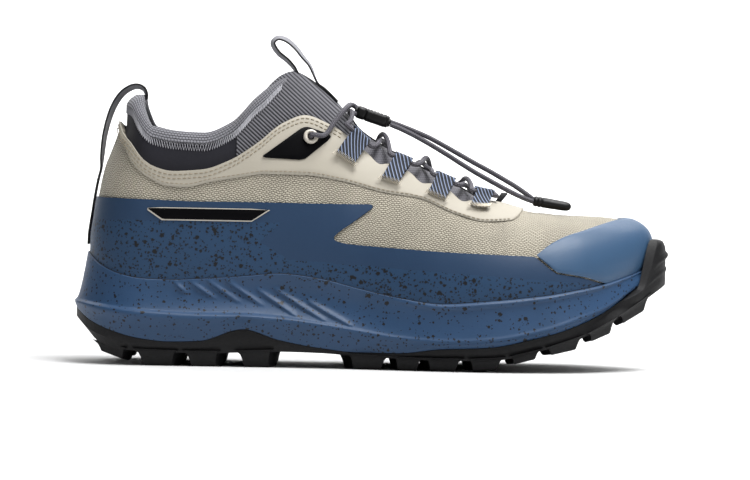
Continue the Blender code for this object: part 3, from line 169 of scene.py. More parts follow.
RIM_INSET = (0.0046, 0.0062, 0.0084)
GAP = 0.0003
LIP = 0.0018
WALL = 0.002
FILM = 0.0008


@dataclass(frozen=True)
class ShoeForm:
    """The shoe's driving sizes and the surfaces that follow from them."""

    length: float = 0.301
    ball: float = 0.112
    sole_height: float = 0.056
    upper_height: float = 0.150
    heel_centre: float = 0.13 * 0.301
    toe_centre: float = 0.80 * 0.301
    heel_square: float = 2.3
    toe_square: float = 2.15
    toe_box_square: float = 4.5
    toe_bulge: float = 0.0022
    throat_end: float = 0.724 * 0.301
    tongue_peak: float = 0.366 * 0.301
    cuff_join: float = 0.272 * 0.301
    toe_in: float = 0.045
    rim_clear: float = 0.0004

    def sole(self, column: str, x: Array) -> Array:
        """A height of the sole, or its lean, at x."""
        scale = 1.0 if column == "lean" else self.sole_height
        values = SOLE[:, SOLE_COLUMNS.index(column)]
        return scale * smooth(SOLE[:, 0], values, np.asarray(x) / self.length)

    def last(self, column: str, x: Array) -> Array:
        """A height, exponent or ridge place of the last at x."""
        scale = {"square": 1.0, "centre": self.ball}.get(column, self.upper_height)
        values = LAST[:, LAST_COLUMNS.index(column)]
        return scale * smooth(LAST[:, 0], values, np.asarray(x) / self.length)

    def width(self, side: Array, x: Array) -> Array:
        """Half width of the sole at x on a side."""
        share = np.asarray(x) / self.length
        lateral = smooth(SOLE[:, 0], SOLE[:, 1], share)
        medial = smooth(SOLE[:, 0], SOLE[:, 2], share)
        return 0.5 * self.ball * np.where(np.asarray(side) < 0, lateral, medial)

    def last_width(self, side: Array, x: Array) -> Array:
        """Half width of the last at its foot, just inside the midsole's lip."""
        return self.width(side, x) - RIM_INSET[0] * self.sole("lean", x) - LIP - GAP

    def sole_middle(self, x: Array) -> Array:
        """Middle line of the sole, which moves to the inner side towards the toe."""
        return self.toe_in * self.ball * ease(x / self.length, 0.5, 1.0)

    def rim_inset(self, x: Array, more: float = 0.0) -> tuple:
        """Side, back and front inset of the midsole's rim, drawn in further by more."""
        return RIM_INSET[0] * self.sole("lean", x) + more, RIM_INSET[1] + more, RIM_INSET[2] + more

    def heel_inset(self, z: Array) -> Array:
        """How far the back of the upper stands in from the back of the sole at height z."""
        return self.length * smooth(BACK[:, 0], BACK[:, 1], np.asarray(z) / self.upper_height)

    def station(self, s: Array) -> tuple:
        """Place on the foot: s is 0 to 1 round the heel, 1 to 2 along it and 2 to 3 round the toe.

        Args:
            s: stations.

        Returns:
            x, the closing shares of the heel and toe, and the share of the width that is left.
        """
        s = np.asarray(s, dtype=float)
        heel = np.where(s < 1.0, np.cos(np.clip(s, 0, 1) * QUARTER) ** (2 / self.heel_square), 0.0)
        toe = np.where(s > 2.0, np.sin(np.clip(s - 2, 0, 1) * QUARTER) ** (2 / self.toe_square),
                       0.0)
        middle = self.heel_centre + (s - 1.0) * (self.toe_centre - self.heel_centre)
        x = np.where(s < 1.0, self.heel_centre * (1.0 - heel), middle)
        x = np.where(s > 2.0, self.toe_centre + (self.length - self.toe_centre) * toe, x)
        heel_spread = np.clip(1 - heel**self.heel_square, 0, 1) ** (1 / self.heel_square)
        toe_spread = np.clip(1 - toe**self.toe_square, 0, 1) ** (1 / self.toe_square)
        return x, heel, toe, heel_spread * toe_spread

    def s_of(self, x: float) -> float:
        """Station in the middle of the foot at x."""
        return 1.0 + (x - self.heel_centre) / (self.toe_centre - self.heel_centre)

    def skin(self, s: Array, side: Array, angle: Array, depth: Array = 0.0) -> Array:
        """Points of the last: a superellipse over the midsole's rim, closed round heel and toe.

        Level is sine of the angle to the power 2 over the exponent, and the width left is the
        cosine to the same power, so that even angles give even points.

        Args:
            s: stations.
            side: -1 or 1.
            angle: 0 at the rim, a quarter turn at the ridge; below 0 it runs down in the sole.
            depth: distance inwards.

        Returns:
            Points, with the three coordinates last.
        """
        x, heel, toe, spread = self.station(s)
        rim = self.sole("rim", x)
        tall = self.last("ridge", x) - rim - depth
        power = 2.0 / self.last("square", x)
        up = np.clip(angle, 0.0, QUARTER)
        level = np.where(angle < 0.0, angle, np.sin(up) ** power)
        closing = np.clip(np.cos(up), 0.0, 1.0) ** power
        z = rim + tall * level
        half = self.last_width(side, x) - depth
        middle = self.last("centre", x)
        y = middle + (side * half - middle) * spread * closing
        reach = self.length - self.toe_centre - RIM_INSET[2] - LIP - GAP - depth
        held = np.clip(level, 0.0, 1.0)
        nose = np.clip(1 - held**self.toe_box_square, 0, 1) ** (1 / self.toe_box_square)
        front = self.toe_centre + toe * (reach * nose + self.toe_bulge * np.sin(math.pi * held))
        back = x + heel * (self.heel_inset(z) + depth)
        points = np.broadcast_arrays(np.where(toe > 0.0, front, back), y, z)
        return np.stack(points, axis=-1) + SHIFT

    def angle_at(self, s: Array, z: Array, depth: Array = 0.0) -> Array:
        """Angle at which the last, drawn in by depth, reaches height z.

        Args:
            s: stations.
            z: heights.
            depth: distance inwards.

        Returns:
            The angles; below the rim they are the level, as in skin().
        """
        x = self.station(s)[0]
        rim = self.sole("rim", x)
        level = (z - rim) / (self.last("ridge", x) - rim - depth)
        power = 0.5 * self.last("square", x)
        return np.where(level < 0.0, level, np.arcsin(np.clip(level, 0.0, 1.0) ** power))

    def rim_angle(self, s: Array) -> Array:
        """Angle just over the midsole's rim, where the films end."""
        return self.angle_at(s, self.sole("rim", self.station(s)[0]) + self.rim_clear)

    def locate(self, points: Sequence) -> tuple:
        """Stations and angles of points seen from the side.

        Args:
            points: rows of place along the foot over length and height over the upper's height.

        Returns:
            Arrays of stations and angles, found by repeated correction of the station.
        """
        data = np.array(points, dtype=float)
        x = data[:, 0] * self.length
        z = data[:, 1] * self.upper_height
        s = 1.0 + (x - self.heel_centre) / (self.toe_centre - self.heel_centre)
        for _ in range(12):
            angle = self.angle_at(s, z)
            inset = self.heel_inset(z)
            heel = np.clip((self.heel_centre - x) / (self.heel_centre - inset), 0.0, 1.0)
            power = 2.0 / self.last("square", self.station(s)[0])
            level = np.sin(np.clip(angle, 0.0, QUARTER)) ** power
            nose = np.clip(1 - level**self.toe_box_square, 1e-6, 1) ** (1 / self.toe_box_square)
            reach = self.length - self.toe_centre - RIM_INSET[2] - LIP - GAP
            run = reach * nose + self.toe_bulge * np.sin(math.pi * level)
            toe = np.clip((x - self.toe_centre) / run, 0.0, 1.0)
            at_heel = np.arccos(heel ** (self.heel_square / 2)) / QUARTER
            at_toe = 2.0 + np.arcsin(toe ** (self.toe_square / 2)) / QUARTER
            middle = 1.0 + (x - self.heel_centre) / (self.toe_centre - self.heel_centre)
            s = np.where(x < self.heel_centre, at_heel,
                         np.where(x > self.toe_centre, at_toe, middle))
        return s, self.angle_at(s, z)

    def edge(self, points: Sequence, straight: bool = False) -> Callable[[Array], Array]:
        """Angle as a function of the station along an edge drawn in the side view.

        The height is read at the place where the last is seen, which the angle moves round the
        heel and toe, so the two are found in turn until they agree.

        Args:
            points: rows of place along the foot over length and height over the upper's height.
            straight: whether the points are joined by straight lines and not by a curve.

        Returns:
            The function.
        """
        data = np.array(points, dtype=float) * np.array([self.length, self.upper_height])

        def angle(s: Array) -> Array:
            """Angle of the edge at stations s."""
            seen = self.station(s)[0]
            for _ in range(10):
                if straight:
                    z = np.interp(seen, data[:, 0], data[:, 1])
                else:
                    z = smooth(data[:, 0], data[:, 1], seen)
                found = self.angle_at(s, z)
                seen = 0.4 * seen + 0.6 * (self.skin(s, -1, found)[..., 0] - SHIFT[0])
            return found

        return angle

    def normal(self, s: Array, side: Array, angle: Array) -> Array:
        """Outward unit normals of the last, from the cross product of two small steps.

        Args:
            s: stations.
            side: -1 or 1.
            angle: angles up the last's side.

        Returns:
            The normals.
        """
        ds, da = 0.002, 0.01
        along = self.skin(s + ds, side, angle) - self.skin(s - ds, side, angle)
        high = np.minimum(angle + da, QUARTER)
        up = self.skin(s, side, high) - self.skin(s, side, angle - da)
        out = np.cross(up, along) * np.asarray(side)[..., None]
        return out / np.maximum(np.linalg.norm(out, axis=-1, keepdims=True), 1e-12)

    def outline(self, s: Array, side: int, z: Array, inset: tuple) -> Array:
        """A ring of the sole on one side: its half width less a side inset, closed round the ends.

        Args:
            s: stations.
            side: -1 or 1.
            z: heights.
            inset: distances inwards at the side, the back and the front.

        Returns:
            The ring's points.
        """
        x, heel, toe, spread = self.station(s)
        half = self.width(side, x) - inset[0]
        middle = self.sole_middle(x)
        y = middle + (side * half - middle) * spread
        ahead = x + heel * inset[1] - toe * inset[2]
        return np.stack(np.broadcast_arrays(ahead, y, z), axis=-1) + SHIFT


FORM = ShoeForm()


def stations(start: float, stop: float, density: float = 1.0) -> Array:
    """Stations from start to stop, closer together round the heel and toe.

    Args:
        start, stop: the first and last station.
        density: how many times the plain number of stations there are.

    Returns:
        The stations, rising.
    """
    base = np.concatenate((
        np.linspace(0, 1, round(28 * density) + 1),
        np.linspace(1, 2, round(130 * density) + 1)[1:],
        np.linspace(2, 3, round(40 * density) + 1)[1:],
    ))
    inside = base[(base > start + 0.002) & (base < stop - 0.002)]
    return np.concatenate(([start], inside, [stop]))


def spline(points: Sequence, count: int) -> Array:
    """Even points on a Catmull-Rom curve through the given ones: cubics in t, then re-spaced.

    Args:
        points: the given points.
        count: number of points on the curve.

    Returns:
        The curve's points.
    """
    data = np.array(points, dtype=float)
    ends = np.vstack((2 * data[0] - data[1], data, 2 * data[-1] - data[-2]))
    t = np.linspace(0, 1, 12, endpoint=False)[:, None, None]
    a, b, c, d = ends[:-3], ends[1:-2], ends[2:-1], ends[3:]
    square, cube = 2 * a - 5 * b + 4 * c - d, 3 * b - a - 3 * c + d
    dense = 0.5 * (2 * b + (c - a) * t + square * t**2 + cube * t**3)
    dense = np.vstack((dense.transpose(1, 0, 2).reshape(-1, data.shape[1]), data[-1:]))
    run = run_of(dense)
    at = np.linspace(0, run[-1], count)
    return np.stack([np.interp(at, run, dense[:, k]) for k in range(data.shape[1])], axis=1)


def run_of(path: Array) -> Array:
    """Distance along a path at each of its points."""
    return np.concatenate(([0.0], np.cumsum(np.linalg.norm(np.diff(path, axis=0), axis=1))))


def rounded(points: Array, rounds: int = 3) -> Array:
    """Path with its corners cut: each stretch is replaced by its two quarter points.

    Args:
        points: the path's points.
        rounds: how often its corners are cut.

    Returns:
        The rounder path.
    """
    path = np.array(points, dtype=float)
    for _ in range(rounds):
        near = 0.75 * path[:-1] + 0.25 * path[1:]
        far = 0.25 * path[:-1] + 0.75 * path[1:]
        path = np.vstack((path[:1], np.stack((near, far), axis=1).reshape(-1, 3), path[-1:]))
    return path


@dataclass
class MeshParts:
    """Grids gathered into one mesh: points, faces, UV per point and material index per face."""

    points: list = field(default_factory=list)
    faces: list = field(default_factory=list)
    uvs: list = field(default_factory=list)
    slots: list = field(default_factory=list)
    count: int = 0

    def add(self, points: Array, faces: Array, uv: Optional[Array] = None, slot: int = 0) -> None:
        """Add points, faces that index them, their UVs and the faces' material slot."""
        self.points.append(points)
        self.faces.append(faces + self.count)
        self.uvs.append(np.zeros((len(points), 2)) if uv is None else uv)
        self.slots.append(np.full(len(faces), slot))
        self.count += len(points)

    def grid(self, points: Array, slot: int = 0, uv: Optional[Array] = None,
             round_v: bool = False) -> None:
        """Add a grid of quads between neighbouring rows and columns.

        Args:
            points: the grid of points.
            slot: its faces' material slot.
            uv: its grid of UVs.
            round_v: whether the last column is joined to the first.
        """
        rows, cols = points.shape[:2]
        index = np.arange(rows * cols).reshape(rows, cols)
        if round_v:
            index = np.concatenate((index, index[:, :1]), axis=1)
        faces = np.stack((index[:-1, :-1], index[1:, :-1], index[1:, 1:], index[:-1, 1:]), axis=-1)
        flat = None if uv is None else uv.reshape(-1, 2)
        self.add(points.reshape(-1, 3), faces.reshape(-1, 4), flat, slot)

    def shell(self, outer: Array, inner: Array, slots: tuple = (0, 0), ends: tuple = (1, 1, 1, 1),
              flat: bool = False) -> None:
        """Add two faces of a wall and its edges.

        Args:
            outer, inner: grids of points of its two faces.
            slots: material slots of the two faces.
            ends: which of its start, stop, low and high edges close.
            flat: whether the UV is the side view and not the run over the outer face.
        """
        uv = outer[..., ::2].copy() if flat else surface_uv(outer)
        self.grid(outer, slots[0], uv)
        self.grid(inner[::-1], slots[1], uv[::-1])
        picks = (np.s_[0, :], np.s_[-1, :], np.s_[:, 0], np.s_[:, -1])
        for wanted, pick in zip(ends, picks):
            if wanted:
                edge = np.stack((outer[pick], inner[pick]))
                self.grid(edge, slots[0], np.stack((uv[pick], uv[pick])))

    def tube(self, path: Array, radius: Array, sides: int = 10) -> None:
        """Add a round bar along a path: circles square to it on frames carried without twist.

        Args:
            path: points of its middle line.
            radius: its radius, or one radius for each point.
            sides: number of sides of the circles.
        """
        ahead = np.gradient(path, axis=0)
        ahead /= np.linalg.norm(ahead, axis=1, keepdims=True)
        normal = np.empty_like(path)
        seed = np.array([0.0, 0.0, 1.0]) if abs(ahead[0, 2]) < 0.9 else np.array([0.0, 1.0, 0.0])
        for i, direction in enumerate(ahead):
            seed = seed - direction * seed.dot(direction)
            seed /= np.linalg.norm(seed)
            normal[i] = seed
        side = np.cross(ahead, normal)
        turn = np.linspace(0, 2 * math.pi, sides + 1)
        r = np.broadcast_to(radius, len(path))[:, None, None]
        cosine, sine = np.cos(turn)[None, :, None], np.sin(turn)[None, :, None]
        ring = normal[:, None] * cosine + side[:, None] * sine
        run = run_of(path)
        uv = np.stack(np.broadcast_arrays(run[:, None], (turn / (2 * math.pi))[None]), axis=-1)
        self.grid(path[:, None] + r * ring, 0, uv)
        for end in (0, -1):
            cap = np.stack((np.broadcast_to(path[end], (sides + 1, 3)),
                            path[end] + r[end] * ring[end]))
            self.grid(cap, 0, np.stack((uv[end], uv[end])))

    def strip(self, points: Array) -> None:
        """Add a grid whose UVs are its runs in metres."""
        self.grid(points, 0, surface_uv(points))

    def cap(self, ring: Array, uv: Optional[Array] = None) -> None:
        """Close a ring of points with a fan to its middle."""
        fan = np.stack((ring, np.broadcast_to(ring.mean(axis=0), ring.shape)))
        self.grid(fan, 0, None if uv is None else np.stack((uv, uv)), round_v=True)

    def build(self, name: str, finishes: Sequence[Material], sharp: float = 40.0,
              closed: bool = True) -> Object:
        """Make the object: doubles merged, normals outwards, smooth shading with sharp corners.

        Args:
            name: the object's name.
            finishes: materials in slot order.
            sharp: angle in degrees past which an edge stays sharp.
            closed: whether the faces are turned outwards, which only a closed skin allows.

        Returns:
            The new object.
        """
        points = np.concatenate(self.points)
        faces = np.concatenate(self.faces)
        uv = np.concatenate(self.uvs)
        mesh = bpy.data.meshes.new(name)
        mesh.from_pydata(points.tolist(), [], faces.tolist())
        layer = mesh.uv_layers.new(name="UVMap")
        layer.data.foreach_set("uv", uv[faces.ravel()].ravel())
        mesh.polygons.foreach_set("material_index", np.concatenate(self.slots))
        for finish in finishes:
            mesh.materials.append(finish)
        body = bmesh.new()
        body.from_mesh(mesh)
        bmesh.ops.remove_doubles(body, verts=body.verts, dist=0.000012)
        bmesh.ops.dissolve_degenerate(body, edges=body.edges, dist=0.000002)
        if closed:
            bmesh.ops.recalc_face_normals(body, faces=body.faces)
        body.to_mesh(mesh)
        body.free()
        mesh.shade_smooth()
        mesh.set_sharp_from_angle(angle=math.radians(sharp))
        thing = bpy.data.objects.new(name, mesh)
        bpy.context.scene.collection.objects.link(thing)
        return thing


def surface_uv(points: Array) -> Array:
    """UVs in metres: run along the rows' mean line, and run up each column.

    Args:
        points: a grid of points.

    Returns:
        The grid of UVs.
    """
    along = np.linalg.norm(np.diff(points, axis=0), axis=-1).mean(axis=1)
    u = np.concatenate(([0.0], np.cumsum(along)))[:, None]
    up = np.linalg.norm(np.diff(points, axis=1), axis=-1)
    v = np.concatenate((np.zeros((len(points), 1)), np.cumsum(up, axis=1)), axis=1)
    return np.stack(np.broadcast_arrays(u, v), axis=-1)


def place(thing: Object, slot: str, *nodes: str) -> Object:
    """Ride a piece on the shoe and hide the CAD nodes that it stands for.

    Args:
        thing: the piece.
        slot: the slot's name; not used.
        nodes: the CAD nodes, if any.

    Returns:
        The piece.
    """
    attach(thing, "root")
    if nodes:
        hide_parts(*nodes)
    LOG.info("%s: %d faces", thing.name, len(thing.data.polygons))
    return thing


def linear(code: str) -> tuple:
    """Linear colour of a six-digit sRGB code."""
    parts = [int(code[i:i + 2], 16) / 255 for i in (0, 2, 4)]
    return (*[c / 12.92 if c <= 0.04045 else ((c + 0.055) / 1.055) ** 2.4 for c in parts], 1.0)


class Wiring:
    """Short hand for adding nodes and links to one tree."""

    def __init__(self, tree: NodeTree) -> None:
        """Take the tree that is wired."""
        self.tree = tree

    def node(self, kind: str, inputs: Optional[dict] = None, **fields: object) -> Node:
        """Add a node, set its fields, and set or link its inputs by name or number.

        Args:
            kind: the node's type.
            inputs: values or sockets by input name or number.
            fields: the node's own properties.

        Returns:
            The node.
        """
        made = self.tree.nodes.new(kind)
        for key, value in fields.items():
            setattr(made, key, value)
        for key, value in (inputs or {}).items():
            if isinstance(value, NodeSocket):
                self.tree.links.new(value, made.inputs[key])
            else:
                made.inputs[key].default_value = value
        return made

    def math(self, operation: str, *values: object) -> NodeSocket:
        """Result of a Math node."""
        return self.node("ShaderNodeMath", dict(enumerate(values)), operation=operation).outputs[0]

    def vector(self, operation: str, first: object, second: object) -> NodeSocket:
        """Result of a Vector Math node."""
        return self.node("ShaderNodeVectorMath", {0: first, 1: second},
                         operation=operation).outputs[0]

    def use(self, tree: NodeTree, vector: object, values: Sequence = ()) -> object:
        """Outputs of a new group node with its vector and values set."""
        return self.node("ShaderNodeGroup", {"Vector": vector, **dict(values)},
                         node_tree=tree).outputs

    def mix(self, share: object, first: object, second: object) -> NodeSocket:
        """Mix of two colours."""
        made = self.node("ShaderNodeMix", {0: share, 6: first, 7: second}, data_type="RGBA")
        return made.outputs[2]

    def span(self, value: object, low: object, high: object, to_low: float = 0.0,
             to_high: float = 1.0) -> NodeSocket:
        """Value mapped smoothly from one range to another."""
        fields = {"Value": value, "From Min": low, "From Max": high, "To Min": to_low,
                  "To Max": to_high}
        return self.node("ShaderNodeMapRange", fields, interpolation_type="SMOOTHSTEP").outputs[0]

    def noise(self, vector: object, scale: float, detail: float = 3.0,
              rough: float = 0.5) -> object:
        """Value of a noise."""
        fields = {"Vector": vector, "Scale": scale, "Detail": detail, "Roughness": rough}
        return self.node("ShaderNodeTexNoise", fields).outputs[0]


def group(name: str, inputs: dict, outputs: Sequence[str], fill: Callable) -> NodeTree:
    """Shader node group, built once.

    Args:
        name: the group's name.
        inputs: input names with their values; a value of None is a vector.
        outputs: names of the float outputs.
        fill: function that takes the wiring and the input sockets and returns the outputs.

    Returns:
        The group.
    """
    if name in bpy.data.node_groups:
        return bpy.data.node_groups[name]
    tree = bpy.data.node_groups.new(name, "ShaderNodeTree")
    for key, value in inputs.items():
        kind = "NodeSocketVector" if value is None else "NodeSocketFloat"
        socket = tree.interface.new_socket(key, in_out="INPUT", socket_type=kind)
        if value is not None:
            socket.default_value = value
    for key in outputs:
        tree.interface.new_socket(key, in_out="OUTPUT", socket_type="NodeSocketFloat")
    wiring = Wiring(tree)
    entry = wiring.node("NodeGroupInput")
    results = fill(wiring, entry.outputs)
    wiring.node("NodeGroupOutput", dict(zip(outputs, results)))
    return tree


FLECK_COLOUR = "07090d"
FLECK_BEND = 0.0017
# scale of the cells, largest size over the cell, share of the cover
FLECK_LAYERS = ((230.0, 0.27, 0.55), (400.0, 0.31, 0.95), (680.0, 0.34, 1.20))
PRINT_LEVEL = 0.0727
PRINT_CORNER = (-0.0558, 0.0630)
PRINT_FOOT = (-0.0414, 0.0541)
PRINT_SLANT, PRINT_STEEP, PRINT_LONG = 1.12, -0.62, -0.060
BROAD_SHARE = 0.35
CLOTH_TONES = (0.90, 1.04)
GRAIN_SHARE = 0.4
GLOSS_SWING = 0.06


def mottle() -> NodeTree:
    """Broad and fine variation of a moulded or woven surface: two noises, one 14 times finer."""

    def fill(w: Wiring, sockets: object) -> tuple:
        """Wire the two noises."""
        broad = w.noise(sockets["Vector"], 45.0, 3.0)
        fine = w.noise(sockets["Vector"], 640.0, 4.0, 0.65)
        return w.span(broad, 0.3, 0.7), fine

    return group("mottle", {"Vector": None}, ("Broad", "Fine"), fill)


def flecks() -> NodeTree:
    """Scattered flecks: cells whose random value is low, cut to uneven blots in their middles."""

    def fill(w: Wiring, sockets: object) -> tuple:
        """Wire three layers of cells over one bent vector and join them."""
        fields = {"Vector": sockets["Vector"], "Scale": 1300.0, "Detail": 2.0}
        bent = w.node("ShaderNodeTexNoise", fields).outputs[1]
        moved = w.vector("ADD", sockets["Vector"], w.vector("MULTIPLY", bent, (FLECK_BEND,) * 3))
        clump = w.span(w.noise(sockets["Vector"], 75.0, 2.0), 0.35, 0.65, 0.75, 1.15)
        cover = w.math("MULTIPLY", sockets["Cover"], clump)
        masks = []
        for scale, size, share in FLECK_LAYERS:
            cell = w.node("ShaderNodeTexVoronoi", {"Vector": moved, "Scale": scale})
            random = w.node("ShaderNodeSeparateColor", {0: cell.outputs["Color"]}).outputs[0]
            grown = w.math("MULTIPLY", w.math("SUBTRACT", w.math("MULTIPLY", cover, share), random),
                           3.0)
            limit = w.math("MINIMUM", grown, size)
            masks.append(w.span(w.math("SUBTRACT", limit, cell.outputs["Distance"]), -0.03, 0.05))
        both = w.math("MAXIMUM", masks[0], masks[1])
        return (w.math("MAXIMUM", both, masks[2]),)

    return group("flecks", {"Vector": None, "Cover": 0.15}, ("Mask",), fill)


def print_area() -> NodeTree:
    """Where the mudguard's flecks are printed.

    That is under a level line as far as a slant, and under two sloping lines. Each line is its
    slope times the distance from a point, plus that point's other coordinate.
    """

    def fill(w: Wiring, sockets: object) -> tuple:
        """Wire the lines and compare the place with them."""

        def line(value: object, at: float, slope: float, level: float) -> NodeSocket:
            """Value of a line through a point."""
            return w.math("ADD", w.math("MULTIPLY", w.math("SUBTRACT", value, at), slope), level)

        place_of = w.node("ShaderNodeSeparateXYZ", {0: sockets["Vector"]}).outputs
        x, z = place_of[0], place_of[2]
        noise = w.noise(sockets["Vector"], 300.0, 2.0)
        waver = w.math("MULTIPLY", w.math("SUBTRACT", noise, 0.5), 0.002)
        height = w.math("ADD", z, waver)
        under_level = w.math("LESS_THAN", height, PRINT_LEVEL)
        slant = line(height, PRINT_CORNER[1], PRINT_SLANT, PRINT_CORNER[0])
        behind = w.math("LESS_THAN", x, slant)
        falling = line(x, PRINT_CORNER[0], PRINT_STEEP, PRINT_CORNER[1])
        steep = w.math("MINIMUM", falling, PRINT_CORNER[1])
        long = line(x, PRINT_FOOT[0], PRINT_LONG, PRINT_FOOT[1])
        under_slopes = w.math("LESS_THAN", height, w.math("MAXIMUM", steep, long))
        return (w.math("MAXIMUM", w.math("MULTIPLY", under_level, behind), under_slopes),)

    return group("print_area", {"Vector": None}, ("Mask",), fill)


def weave() -> NodeTree:
    """Woven cloth from the UV: products of sines, every other row offset, the rows waved."""

    def fill(w: Wiring, sockets: object) -> tuple:
        """Wire the threads' height and its shade."""
        uv = w.node("ShaderNodeSeparateXYZ", {0: sockets["Vector"]}).outputs
        drift = w.math("MULTIPLY", w.noise(sockets["Vector"], 160.0, 2.0), sockets["Drift"])
        u = w.math("ADD", w.math("MULTIPLY", uv[0], sockets["Along"]), drift)
        swing = w.math("MULTIPLY", w.math("SINE", w.math("MULTIPLY", u, 0.5 * math.pi)),
                       sockets["Wave"])
        v = w.math("ADD", w.math("MULTIPLY", uv[1], sockets["Up"]), w.math("ADD", drift, swing))
        odd = w.math("MODULO", w.math("FLOOR", v), 2.0)
        shifted = w.math("ADD", u, w.math("MULTIPLY", odd, 0.5))
        across = w.math("ABSOLUTE", w.math("SINE", w.math("MULTIPLY", shifted, math.pi)))
        up = w.math("ABSOLUTE", w.math("SINE", w.math("MULTIPLY", v, math.pi)))
        height = w.math("MULTIPLY", w.math("POWER", across, 0.45), w.math("POWER", up, 0.7))
        return height, w.span(height, 0.2, 0.7)

    inputs = {"Vector": None, "Along": 700.0, "Up": 900.0, "Drift": 0.4, "Wave": 0.0}
    return group("weave", inputs, ("Height", "Shade"), fill)


def ribs() -> NodeTree:
    """Parallel ribs from the UV turned by an angle: a sine across them, and its rounded tops."""

    def fill(w: Wiring, sockets: object) -> tuple:
        """Wire the turned wave and its shade."""
        fields = {"Vector": sockets["Vector"], "Angle": sockets["Angle"]}
        turn = w.node("ShaderNodeVectorRotate", fields, rotation_type="Z_AXIS").outputs[0]
        across = w.node("ShaderNodeSeparateXYZ", {0: turn}).outputs[0]
        wave = w.math("SINE",
                      w.math("MULTIPLY", w.math("MULTIPLY", across, sockets["Count"]), 2 * math.pi))
        height = w.math("ADD", w.math("MULTIPLY", wave, 0.5), 0.5)
        return height, w.span(height, sockets["From"], sockets["To"])

    inputs = {"Vector": None, "Count": 650.0, "Angle": 0.0, "From": 0.1, "To": 0.7}
    return group("ribs", inputs, ("Height", "Shade"), fill)


@dataclass(frozen=True)
class Finish:
    """A finish: two colours, gloss, and the pattern that mixes them."""

    name: str
    colour: str
    second: str
    roughness: float = 0.6
    pattern: Pattern = Pattern.MOTTLE
    values: tuple = ()
    bump: float = 0.0002
    sheen: float = 0.0
    coat: float = 0.0
    specular: float = 0.5
    fleck: float = 0.0
    printed: str = ""

    def make(self) -> Material:
        """Build the material.

        Returns:
            A Principled material whose base is the two colours mixed by the pattern's shade, with
            broad mottling, flecks if it has any, and a bump of the pattern's height and fine grain.
        """
        if self.name in bpy.data.materials:
            return bpy.data.materials[self.name]
        material = bpy.data.materials.new(self.name)
        material.use_nodes = True
        w = Wiring(material.node_tree)
        shader = material.node_tree.nodes["Principled BSDF"]
        coordinates = w.node("ShaderNodeTexCoord").outputs
        solid = coordinates["Object"]
        grain = w.use(mottle(), solid)
        share = w.math("MULTIPLY", grain["Broad"], BROAD_SHARE)
        colour = w.mix(share, linear(self.colour), linear(self.second))
        height = grain["Fine"]
        if self.pattern is not Pattern.MOTTLE:
            tree = {Pattern.WEAVE: weave, Pattern.RIBS: ribs}[self.pattern]()
            made = w.use(tree, coordinates["UV"], self.values)
            colour = w.mix(made["Shade"], linear(self.second), linear(self.colour))
            broad = w.span(grain["Broad"], 0.0, 1.0, *CLOTH_TONES)
            colour = w.vector("MULTIPLY", colour, broad)
            height = w.math("ADD", made["Height"], w.math("MULTIPLY", grain["Fine"], GRAIN_SHARE))
        if self.fleck:
            mask = w.use(flecks(), solid, (("Cover", self.fleck),))["Mask"]
            if self.printed:
                area = w.use(print_area(), solid)["Mask"]
                colour = w.mix(area, linear(self.printed), colour)
                mask = w.math("MULTIPLY", mask, area)
            colour = w.mix(mask, colour, linear(FLECK_COLOUR))
        gloss = w.span(grain["Fine"], 0.2, 0.8,
                       *(self.roughness + v for v in (-GLOSS_SWING, GLOSS_SWING)))
        raised = w.node("ShaderNodeBump",
                        {"Height": height, "Strength": 1.0, "Distance": self.bump})
        for key, socket in (("Base Color", colour), ("Roughness", gloss),
                            ("Normal", raised.outputs[0])):
            w.tree.links.new(socket, shader.inputs[key])
        for key, value in (("Sheen Weight", self.sheen), ("Sheen Roughness", 0.5),
                           ("Coat Weight", self.coat),
                           ("Coat Roughness", 0.25), ("Specular IOR Level", self.specular)):
            shader.inputs[key].default_value = value
        return material


RUBBER = Finish("rubber", "0c0c0e", "141417", 0.60, bump=0.00012, specular=0.3)
FOAM = Finish("foam", "274466", "223e5c", 0.52, bump=0.00006, fleck=0.30, specular=0.4)
GUARD = Finish("guard", "203d5c", "1d3956", 0.52, bump=0.00005, fleck=0.62, printed="1f3855",
               specular=0.35)
CAP = Finish("cap", "365270", "304b68", 0.46, bump=0.00005, coat=0.05, specular=0.35)
MESH = Finish("mesh", "b6af9f", "6c6658", 0.85, Pattern.WEAVE,
              (("Along", 520.0), ("Up", 900.0), ("Drift", 0.9), ("Wave", 0.45)), 0.00040,
              sheen=0.15)
FILM_CREAM = Finish("film", "aca699", "a29c8f", 0.55, bump=0.00005, specular=0.3)
LINING = Finish("lining", "3a3a40", "26262b", 0.92, Pattern.WEAVE,
                (("Along", 800.0), ("Up", 800.0)), 0.0002, sheen=0.3)
NEOPRENE = Finish("neoprene", "202027", "191920", 0.80, bump=0.00006, sheen=0.12, specular=0.2)
KNIT = Finish("knit", "66666c", "242429", 0.92, Pattern.RIBS,
              (("Count", 640.0), ("Angle", -0.837), ("From", 0.05), ("To", 0.75)), 0.0005,
              sheen=0.15)
RIM = Finish("rim", "7f7f86", "2a2a2f", 0.92, Pattern.WEAVE, (("Along", 620.0), ("Up", 640.0)),
             0.0004, sheen=0.2)
TONGUE_CLOTH = Finish("tongue_cloth", "5c5b62", "424147", 0.80, Pattern.WEAVE,
                      (("Along", 900.0), ("Up", 900.0)), 0.0001, sheen=0.2)
TAPE_BLACK = Finish("tape_black", "1d1d21", "0e0e11", 0.70, Pattern.WEAVE,
                    (("Along", 1100.0), ("Up", 1100.0), ("Drift", 0.0)), 0.0002)
TAPE_FACE = Finish("tape_face", "9a9aa0", "6a6a70", 0.75, Pattern.WEAVE,
                   (("Along", 1100.0), ("Up", 1100.0), ("Drift", 0.0)), 0.0002)
PATCH = Finish("patch", "060608", "09090c", 0.50, bump=0.00004, specular=0.05)
